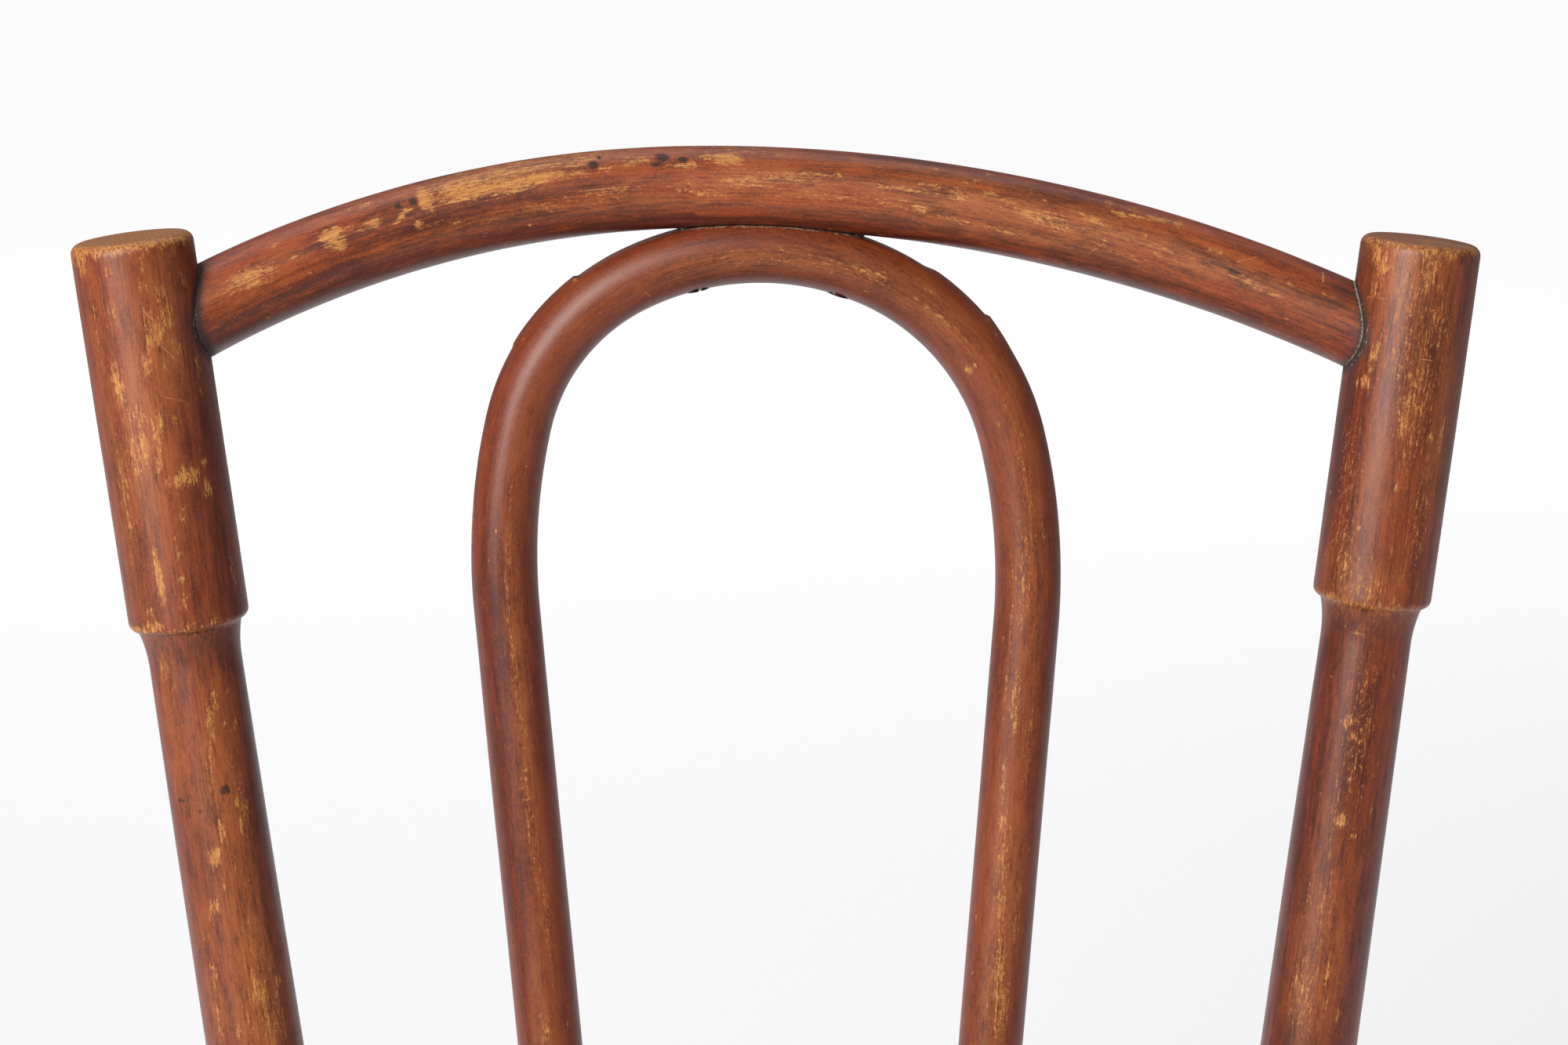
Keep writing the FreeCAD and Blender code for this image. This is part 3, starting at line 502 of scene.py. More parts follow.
# Back posts: turned heads, thinner shafts, bent over the edge of the seat ring and on down as rear legs
backPost = {
    "shoulderOffset": 179.5,
    "shoulderHeight": 749.0,
    "shoulderBack": 203.94,
    "rake": 11.0,
    "splay": 6.41,
    "legRake": 8.5,
    "legSplay": 3.5,
    "bendRadius": 450.0,
    "shoulderToBend": 225.56,
    "headRadius": 18.0,
    "headLengths": {"left": 117.0, "right": 111.3},
    "topRound": 3.0,
    "lipRound": 2.4,
    "coveHeight": 12.0,
    "neckRadius": 13.8,
    "seatRadius": 15.5,
    "footRadius": 12.5,
    "footChamfer": 1.5,
    "pastFloor": 14.0,
    "sides": 84,
    "spacing": 1.6,
    "waviness": 0.16,
    "roundSteps": 6,
    "coveSteps": 10,
    "waveLength": 90,
    "topWear": {"left": 0.80, "right": 0.58},
    # the turns that the photograph doesn't reach, and how far grime and painted shade spread from the crest
    # rail
    "behind": {"left": (60, 200), "right": (-90, 60)},
    "grimeAndShadeReach": {"left": 2.6, "right": 1.8},
}
rake, splay = radians(backPost["rake"]), radians(backPost["splay"])
backUp = Vector((0, sin(rake), cos(rake)))
backOut = Vector((0, -cos(rake), sin(rake)))


def postWay(sideSign, headLength):
    size = backPost
    upper = Vector((sideSign * sin(splay), cos(splay) * sin(rake), cos(splay) * cos(rake)))
    out, back = radians(size["legSplay"]), radians(size["legRake"])
    lower = Vector((sideSign * sin(out), cos(out) * sin(back), -cos(out) * cos(back)))
    shoulder = Vector((sideSign * size["shoulderOffset"], size["shoulderBack"], size["shoulderHeight"]))
    shoulder += Vector((seatCentre.x, seatCentre.y, 0))
    bendTurn = pi - upper.angle(lower)
    inward = (lower - upper * lower.dot(upper)).normalized()
    runs = ((headLength + size["shoulderToBend"], None), (size["bendRadius"] * bendTurn, size["bendRadius"]),
            (1, None))
    legs = makeWay(shoulder + upper * headLength, -upper, inward, runs)
    bendEnd = legs[2][3]
    length = legs[2][0] + bendEnd.z / -lower.z
    return legs, length


def postOutline(headLength, bendStart, bendEnd, length):
    size = backPost
    radius, top, lip = size["headRadius"], size["topRound"], size["lipRound"]
    outline = [(0.0, 0.0)]
    evenRun(outline, 0.0, radius - top, 3.0)
    quarter = [radians(90 * step / size["roundSteps"]) for step in range(1, size["roundSteps"] + 1)]
    outline += [(top - top * cos(turn), radius - top + top * sin(turn)) for turn in quarter]
    evenRun(outline, headLength - lip, radius, size["spacing"])
    outline += [(headLength - lip + lip * sin(turn), radius - lip + lip * cos(turn)) for turn in quarter]
    drop = radius - lip - size["neckRadius"]
    coveRadius = (drop ** 2 + size["coveHeight"] ** 2) / (2 * drop)
    coveSweep = asin(size["coveHeight"] / coveRadius)
    for step in range(1, size["coveSteps"] + 1):
        turn = coveSweep * (1 - step / size["coveSteps"])
        outline.append((headLength + size["coveHeight"] - coveRadius * sin(turn),
                        size["neckRadius"] + coveRadius * (1 - cos(turn))))
    evenRun(outline, bendStart, size["seatRadius"], size["spacing"])
    evenRun(outline, bendEnd, size["seatRadius"], size["spacing"])
    taper = (size["footRadius"] - size["seatRadius"]) / (length - bendEnd)
    end = length + size["pastFloor"]
    evenRun(outline, end, size["footRadius"] + taper * size["pastFloor"], size["spacing"] * 1.5)
    outline.append((end, 0.0))
    return outline


def trimFoot(shape):
    # level the foot at the floor and ease its edge
    everything = shape.verts[:] + shape.edges[:] + shape.faces[:]
    bmesh.ops.bisect_plane(shape, geom=everything, plane_co=(0, 0, 0), plane_no=(0, 0, -1), clear_outer=True,
                           dist=0.0001)
    rim = [edge for edge in shape.edges if edge.is_boundary]
    sole = bmesh.ops.contextual_create(shape, geom=rim)["faces"]
    bmesh.ops.bevel(shape, geom=[edge for face in sole for edge in face.edges],
                    offset=backPost["footChamfer"], segments=2, profile=0.5, affect="EDGES", material=-1)
    bmesh.ops.recalc_face_normals(shape, faces=shape.faces[:])


# Crest rail, two arcs from its highest point to the posts' axes
crestRail = {
    "apexOffset": -25.3,
    "apexRise": 126.0,
    "bulge": 28.6,
    "endRises": {"left": 84.9, "right": 76.9},
    "radii": {"left": 13.2, "middle": 12.4, "right": 12.4},
    "tenonRadius": 8.0,
    "tenonPastAxis": 4.0,
    "endLength": 40,
    "endNarrowing": 0.2,
    "sides": 88,
    "spacing": 1.2,
    "endSpacing": 0.7,
    "waviness": 0.14,
    "waveLength": 60,
}
backOrigin = Vector((seatCentre.x, seatCentre.y + backPost["shoulderBack"], backPost["shoulderHeight"]))
sideSigns = {"left": -1, "right": 1}


def backPoint(offset, rise, forward):
    return backOrigin + acrossWay * offset + backUp * rise + backOut * forward


crestApex = backPoint(crestRail["apexOffset"], crestRail["apexRise"], -crestRail["bulge"])


def crestHalf(sideName):
    # the arc's legs and its length, from the apex to the post's axis
    sign, rise = sideSigns[sideName], crestRail["endRises"][sideName]
    end = backPoint(sign * (backPost["shoulderOffset"] + tan(splay) * rise), rise, 0)
    reach = abs(end.x - crestApex.x)
    fall = end - crestApex
    fall.x = 0
    radius = (reach ** 2 + fall.length ** 2) / (2 * fall.length)
    length = radius * asin(reach / radius)
    return makeWay(crestApex, acrossWay * sign, fall, ((length, radius),)), length


crestWays = {sideName: crestHalf(sideName) for sideName in sideSigns}
crestLeft, crestLeftLength = crestWays["left"]
crestRight, crestRightLength = crestWays["right"]


def crestPlace(along):
    return onTwoWays(crestLeft, crestRight, along)


# Hoop inside the back, three bends and a straight leg on each side
backHoop = {
    "apexOffset": -7.0,
    "radius": 10.2,
    "bedDepth": 3.6,
    "topRadius": 88.0,
    "topSweep": 25.0,
    "crownRadii": {"left": 65.2, "right": 76.3},
    "crownSweep": 76.4,
    "sideRadius": 191.0,
    "feetOffset": -3.5,
    "feetSpacing": 119.0,
    "feetInset": 16.0,
    "ringRadius": 202.0,
    "tenonRadius": 7.25,
    "tenonLength": 22.0,
    "sides": 72,
    "spacing": 1.4,
    "waviness": 0.12,
    "waveLength": 70,
    # how far along the crown and across the chair the crest rail is near
    "crownReach": 120,
    "bedReach": 60,
}


def hoopApexPoint():
    # under the crest rail's right arc, by both radii less the bed
    reach = backHoop["apexOffset"] - crestRail["apexOffset"]
    radius, inward = crestRight[0][2], crestRight[0][5]
    turn = asin(reach / radius)
    under = crestApex + acrossWay * reach + inward * radius * (1 - cos(turn))
    return under - backUp * (crestRail["radii"]["middle"] + backHoop["radius"] - backHoop["bedDepth"])


hoopApex = hoopApexPoint()
feetRadius = backHoop["ringRadius"] - backHoop["feetInset"]
feetBack = seatCentre.y + sqrt(feetRadius ** 2 - (backHoop["feetSpacing"] / 2) ** 2)
hoopFall = Vector((0, feetBack - hoopApex.y, seatCentre.z - hoopApex.z))


def hoopHalf(sideName):
    size, sign = backHoop, sideSigns[sideName]
    foot = (sign * (size["feetOffset"] - size["apexOffset"]) + size["feetSpacing"] / 2, hoopFall.length)
    reach, depth, turn = 0.0, 0.0, 0.0
    runs = []
    for radius, endTurn in ((size["topRadius"], radians(size["topSweep"])),
                            (size["crownRadii"][sideName], radians(size["crownSweep"])),
                            (size["sideRadius"], None)):
        centre = (reach - radius * sin(turn), depth + radius * cos(turn))
        if endTurn is None:
            gap = (foot[0] - centre[0], foot[1] - centre[1])
            endTurn = atan2(gap[1], gap[0]) - acos(radius / hypot(*gap)) + pi / 2
        runs.append((radius * (endTurn - turn), radius))
        reach, depth, turn = centre[0] + radius * sin(endTurn), centre[1] - radius * cos(endTurn), endTurn
    straight = hypot(foot[0] - reach, foot[1] - depth)
    runs.append((straight, None))
    legs = makeWay(hoopApex, acrossWay * sign, hoopFall, runs)
    return legs, sum(length for length, _ in runs)


hoopLeft, hoopLeftLength = hoopHalf("left")
hoopRight, hoopRightLength = hoopHalf("right")


def hoopPlace(along):
    return onTwoWays(hoopLeft, hoopRight, along)


postLines, postAxes, postWays = {}, {}, {}
lineSpacing = 2.0
for sideName, sign in sideSigns.items():
    headLength = backPost["headLengths"][sideName]
    legs, length = postWay(sign, headLength)
    postWays[sideName] = (legs, length)
    postAxes[sideName] = (legs[0][3], legs[0][4])
    postLines[sideName] = linesAlong(lambda along: onWay(legs, along), 0, headLength, lineSpacing)
crestLine = linesAlong(crestPlace, -crestLeftLength, crestRightLength, lineSpacing)
hoopLine = linesAlong(hoopPlace, -backHoop["crownReach"], backHoop["crownReach"], lineSpacing)


def copeOnPosts(shape, keepInside):
    # draw the rail's ends back to the skin of the heads
    radius = backPost["headRadius"] + skinGap
    for corner in shape.verts:
        for sideName, (top, down) in postAxes.items():
            outward = (corner.co.x - crestApex.x) * sideSigns[sideName]
            if outward < crestLeftLength / 2 or corner in keepInside:
                continue
            heading = onWay(*crestWays[sideName])[1]
            gap = corner.co - top
            gap -= down * gap.dot(down)
            pull = -heading
            pull -= down * pull.dot(down)
            a, b, c = pull.length_squared, 2 * gap.dot(pull), gap.length_squared - radius ** 2
            if c < 0:
                corner.co -= heading * ((-b + sqrt(b * b - 4 * a * c)) / (2 * a))


# What the photograph shows. Worn and stained places, rubbed places with painted highlight, painted shade,
# and grime with painted shade are marks; lines are (start along, start turn, end along, end turn, radius,
# half width).
crestMarks = {
    # rubbed finish, and painted highlight along the rail's lit band
    "rubbedAndHighlight": [
        (110, -74, 85, 6, 1), (20, -74, 28, 6, 1), (-30, -48, 70, 3, 0.6), (90, -45, 60, 3, 0.65),
        (-140, -70, 18, 5, 0.6), (-40, -125, 60, 5, 0.5), (60, -108, 60, 3, 0.5), (-60, -100, 34, 6, 0.6),
    ],
    # painted shade along the underside
    "paintedShade": [
        (20, 8, 400, 8, 1),
    ],
    "wear": [
        (-139, -76, 10, 4, 0.86), (-140, -84, 5, 1.2, 0.75), (-128.5, -103, 1.2, 1.2, 0.9),
        (-125.5, -120, 0.8, 1.2, 0.6), (-125, -77, 1.8, 0.8, 0.9), (-112, -86, 4.2, 3, 1.3),
        (-110, -92, 3.5, 1, 1), (-106.5, -88, 2, 0.8, 0.9), (-113.5, -75, 1.8, 1.5, 1),
        (-110.5, -70, 2.6, 2.4, 1.2), (-103, -80, 2, 1, 0.85), (-99, -84, 3.6, 2, 1.15),
        (-103.5, -120, 1.3, 1.5, 0.7), (-99, -118, 2.5, 1.5, 0.9), (-104.5, -105, 0.7, 1.5, 0.7),
        (-92, -76, 1.2, 0.9, 0.9), (-90, -80, 2, 1, 0.95), (-88, -87, 2.5, 0.9, 0.95),
        (-81.8, -98, 2.6, 5.2, 1.35), (-82.5, -113, 1.3, 2.2, 1), (-86, -63, 1.5, 1.6, 1.15),
        (-82, -60, 2.6, 0.7, 0.85), (-79.5, -60, 1.2, 0.7, 0.9), (-70, -110, 10, 3.6, 1.12),
        (-58, -111, 9, 3.4, 1.08), (-69, -91, 11, 3, 1.22), (-57, -89, 11, 3, 1.22),
        (-47, -93, 10, 2.2, 1.2), (-41, -94, 6, 1, 0.95), (-51, -113, 8, 2.2, 0.85),
        (-43, -113, 6, 1.6, 0.85), (-36, -111, 5, 2.4, 0.85), (-33, -116, 4, 2, 0.95),
        (-27.5, -95, 3, 1, 0.9), (-36, -92, 5, 1, 0.9), (-18, -108, 5, 2, 0.9), (-20, -98, 4, 0.9, 0.95),
        (-14, -100, 5, 0.9, 0.8), (-4, -92, 6, 1, 0.95), (-1, -97, 2, 2, 1), (3, -113, 3, 1.5, 0.95),
        (9, -108, 5.2, 3, 1.3), (12, -102, 2.2, 1.6, 1.05), (-40, -134, 40, 2.6, 0.72),
        (12, -134, 18, 2.6, 0.62), (-25, -61, 14, 1.8, 0.56), (0, -60, 12, 3, 0.55),
        (-50, -50, 26, 1.6, 0.42), (-25.5, -65, 1.2, 0.8, 0.95), (-21, -57, 0.7, 1.7, 1),
        (-29.6, -50, 0.5, 0.9, 0.95), (16, -76, 9, 3.2, 0.82), (28, -80, 14, 2.6, 0.62),
        (35, -88, 14, 1, 0.66), (60, -80, 18, 1.5, 0.62), (50, -57, 32, 2, 0.55), (69, -55, 4, 2.2, 0.78),
        (80, -45, 10, 1.2, 0.66), (95, -42, 14, 1.2, 0.52), (25, -122, 2.2, 1.2, 0.8),
        (84, -105, 1.2, 1, 0.95), (81, -102, 1, 0.8, 0.85), (101, -108, 0.9, 0.8, 0.8),
        (105.5, -98, 1.3, 0.6, 0.95), (69, -90, 3, 1, 0.85), (72, -88, 3, 0.9, 0.85),
        (89, -92, 3, 1.7, 0.88), (80, -80, 5, 2.2, 0.74), (96, -87, 7, 0.9, 0.85), (100, -76, 10, 1, 0.92),
        (105, -70, 7, 1.7, 0.84), (111, -66, 6, 2.2, 0.76), (72, -121, 1.4, 0.7, 0.8),
        (88, -128, 2.2, 0.9, 0.85), (79, -90, 1.2, 2.5, 0.65), (124, -125, 1.6, 1.7, 0.85),
        (114, -128, 1.6, 1.2, 0.7), (128, -105, 3, 1.4, 1), (133, -108, 4, 1.2, 0.88),
        (140, -117, 5, 1.6, 0.88), (146, -119, 2, 1.8, 0.95), (132, -125, 2.6, 2.5, 0.6),
        (118, -90, 6, 0.8, 0.7), (121, -84, 6, 0.9, 1), (108, -80, 6, 0.8, 0.75), (126, -63, 1.6, 1, 0.95),
        (143, -60, 12, 0.7, 0.75), (130, -50, 14, 1.2, 0.55), (157, -92, 1.3, 1.1, 1),
        (160.3, -92, 1.6, 1.2, 1), (175, -63, 10, 1.3, 0.66), (183, -84, 2, 0.8, 0.7),
        (170, -68, 8, 1, 0.66), (150, -72, 25, 1.4, 0.52), (196, -92, 2, 1.4, 0.6), (185, -35, 4, 1.2, 0.5),
    ],
    "stain": [
        (-90, -97, 1.4, 1.7, 1), (-85.5, -98, 1.7, 1.8, 0.95), (-58, -101, 12, 0.45, 0.7),
        (-46, -105, 7, 0.4, 0.6), (-30.5, -103, 1.7, 2.2, 1.15), (-28.5, -118, 1.1, 1.1, 1.1),
        (-33, -97, 1.2, 0.8, 0.8), (-10, -108, 2.6, 2.2, 1), (-12, -96, 2.6, 1.3, 0.9),
        (-4, -103, 2, 1.3, 1.05), (34, -76, 2, 2.2, 0.5), (56, -92, 1.5, 1.2, 0.5),
        (-116, -56, 1.6, 1.4, 0.6), (161, -75.5, 5, 0.5, 1.1), (166, -72, 2.8, 0.9, 1.1),
        (92, -60, 2, 1, 0.5),
    ],
    "lines": [
        (-33.2, -86, -35.8, -65, 12.45, 0.28), (-35.8, -65, -27, -66, 12.45, 0.22),
        (-33, -97, -35, -84, 12.45, 0.22), (123, -42, 126, -57, 12.4, 0.22),
        (166, -88, 171, -105, 12.4, 0.24), (191, -128, 192, -108, 12.4, 0.5),
    ],
    # grime and painted shade at both ends, next to the heads
    "grimeAndShade": [
        (-156, -112, 8, 9, 0.5), (199, -112, 8, 9, 0.42),
    ],
}


def makeCrest(material):
    size = crestRail
    radii, tenon, pastAxis = size["radii"], size["tenonRadius"], size["tenonPastAxis"]
    endLength, endSpacing = size["endLength"], size["endSpacing"]
    left, right = -crestLeftLength, crestRightLength
    outline = [(left - pastAxis, 0.0), (left - pastAxis, tenon), (left, tenon)]
    for along, radius, spacing in ((left, radii["left"], 2.0),
                                   (left + endLength, radii["left"] - size["endNarrowing"], endSpacing),
                                   (0, radii["middle"], size["spacing"]),
                                   (right - endLength, radii["right"], size["spacing"]),
                                   (right, radii["right"], endSpacing), (right, tenon, 2.0)):
        evenRun(outline, along, radius, spacing)
    outline += [(right + pastAxis, tenon), (right + pastAxis, 0.0)]
    shape = turnRod(outline, size["sides"])
    inside = {corner for corner in shape.verts if hypot(corner.co.x, corner.co.y) < tenon + 0.01
              and not left < corner.co.z < right}
    roughen(shape, 1, size["waviness"], size["waveLength"])
    bendRod(shape, crestPlace)
    copeOnPosts(shape, inside)
    bmesh.ops.remove_doubles(shape, verts=shape.verts[:], dist=0.002)
    mesh = finishPiece(shape, "crest_rail_turned", "crest_rail", material)
    wear = spread(mesh, crestMarks["wear"] + scattered(11, 46, (-160, 200), (10, 200))
                  + knocked(51, 130, (-158, 200), (-180, 180)))
    toLeft, toRight = (gapTo(mesh, postLines[side], backPost["headRadius"]) for side in ("left", "right"))
    toHoop = gapTo(mesh, hoopLine, backHoop["radius"])
    # grime and painted shade, darker the nearer the heads and the hoop
    grimeAndShade = 1.1 * np.exp(-toLeft / 1.8) + 0.8 * np.exp(-toRight / 1.8) + 0.55 * np.exp(-toHoop / 0.8)
    grimeAndShade = np.maximum(grimeAndShade, spread(mesh, crestMarks["grimeAndShade"], softEdge))
    dust = 0.95 * np.exp(-(toRight / 0.6) ** 2) + 0.4 * np.exp(-(toLeft / 0.5) ** 2)
    keepSkin(mesh, crestMarks, wear, grimeAndShade, dust)


hoopMarks = {
    # rubbed finish, and painted highlight along the hoop's lit band
    "rubbedAndHighlight": [
        (-190, -80, 80, 3, 0.6), (10, -85, 45, 4, 0.6), (265, -80, 70, 6, 0.7), (150, -85, 60, 7, 0.45),
        (-300, -95, 40, 4, 0.5), (60, -100, 40, 6, 0.6),
    ],
    # painted shade under the crown and along part of the left leg
    "paintedShade": [
        (0, 0, 110, 7, 0.8), (-250, -130, 120, 5, 0.4),
    ],
    "wear": [
        (-52.8, -158, 0.9, 1.4, 1.1), (-74, -150, 0.5, 1.5, 0.9), (-73, -142, 0.5, 1.2, 0.9),
        (-117, -160, 0.9, 0.7, 0.95), (-200, -85, 60, 1.6, 0.5), (-250, -72, 34, 1.6, 0.44),
        (-194, -77, 1.2, 0.6, 0.95), (-290, -95, 10, 3.2, 0.5), (-140, -84, 30, 1.3, 0.44),
        (-57, -108, 0.6, 0.6, 0.9), (10, -85, 30, 3, 0.44), (28, -95, 4, 1.5, 0.58), (36, -90, 6, 2, 0.7),
        (55, -88, 6, 1, 0.66), (53, -112, 1.6, 0.9, 0.75), (38, -105, 0.9, 0.6, 0.9),
        (79, -66, 1.9, 1.4, 1.2), (71.5, -158, 0.7, 2.6, 0.95), (64, -92, 9, 1.2, 0.62),
        (135, -112, 6, 1, 0.6), (150, -75, 20, 2.6, 0.48), (190, -75, 14, 2.2, 0.68),
        (196, -78, 1.8, 1.4, 0.88), (215, -65, 9, 1.2, 0.7), (170, -55, 30, 0.9, 0.55),
        (205, -105, 16, 1.6, 0.58), (228, -68, 3.2, 1.3, 0.95), (240, -75, 20, 3, 0.6),
        (255, -80, 7, 1.6, 0.88), (253, -85, 3.2, 0.9, 0.88), (275, -85, 18, 2.8, 0.7),
        (250, -110, 12, 1.2, 0.64), (290, -95, 14, 3.2, 0.66), (263, -110, 9, 1.6, 0.6),
        (110, -95, 26, 2.4, 0.42),
    ],
    "stain": [
        (-118, -170, 3, 2, 0.6), (-52, 178, 2, 5, 0.7),
    ],
    "lines": [
        (56, -84, 63, -92, 10.3, 0.2), (-37, -68, -36, -52, 10.3, 0.22),
        (-193.5, -79, -191.5, -74, 10.3, 0.2), (72.5, -168, 71, -140, 10.6, 0.22),
        (59, -87, 66, -82, 10.3, 0.16),
    ],
    # the crown is shaved flat outside where it meets the crest rail, with small steps at the ends:
    # (along, height)
    "outerSkin": [
        (-90, 0), (-77, 0), (-76.4, 0.5), (-60, 0.3), (-52.6, 0.2), (-51.6, -1.1), (50, -1.1), (53, 0),
        (70.6, 0), (71.2, 0.8), (84, 0), (90, 0),
    ],
}


def shaveHoop(shape):
    alongs, heights = zip(*hoopMarks["outerSkin"])
    radius = backHoop["radius"]
    for corner in shape.verts:
        height = np.interp(corner.co.z, alongs, heights)
        if height < 0:
            corner.co.x = max(corner.co.x, -(radius + height))
        elif height > 0:
            outward = max(0.0, -corner.co.x / radius)
            corner.co.x -= height * outward ** 8


def makeHoop(material):
    size = backHoop
    left, right, tenon = -hoopLeftLength, hoopRightLength, size["tenonRadius"]
    outline = [(left - size["tenonLength"], 0.0), (left - size["tenonLength"], tenon)]
    for along, radius, spacing in ((left, tenon, 4.0), (left, size["radius"], 2.0),
                                   (right, size["radius"], size["spacing"]), (right, tenon, 2.0),
                                   (right + size["tenonLength"], tenon, 4.0)):
        evenRun(outline, along, radius, spacing)
    outline.append((outline[-1][0], 0.0))
    shape = turnRod(outline, size["sides"])
    roughen(shape, 2, size["waviness"], size["waveLength"])
    shaveHoop(shape)
    bendRod(shape, hoopPlace)
    bedHoop(shape)
    mesh = finishPiece(shape, "back_hoop_turned", "back_hoop", material)
    hidden = scattered(12, 60, (-300, 300), (10, 200))
    for seed, alongRange in ((13, (-470, -300)), (14, (300, 470))):
        hidden += scattered(seed, 14, alongRange, (-170, 0))
    hidden += knocked(52, 260, (-470, 470), (-180, 180))
    toCrest = gapTo(mesh, crestLine, crestRail["radii"]["middle"])
    # grime and painted shade where the crown meets the crest rail, and dust in the seam
    keepSkin(mesh, hoopMarks, spread(mesh, hoopMarks["wear"] + hidden), 0.55 * np.exp(-toCrest / 0.9),
             0.75 * np.exp(-((toCrest - 0.6) / 0.5) ** 2))


def bedHoop(shape):
    # the crown is hollowed to the crest rail's skin
    radius = crestRail["radii"]["middle"] + skinGap
    for corner in shape.verts:
        besideBed = abs(corner.co.x - hoopApex.x) > backHoop["bedReach"]
        if besideBed or corner.co.z < hoopApex.z - backHoop["radius"]:
            continue
        reach = corner.co.x - crestApex.x
        legs = crestRight if reach > 0 else crestLeft
        place = onWay(legs, legs[0][2] * asin(min(1, abs(reach) / legs[0][2])))[0]
        gap = corner.co - place
        if gap.length < radius:
            corner.co = place + gap.normalized() * radius


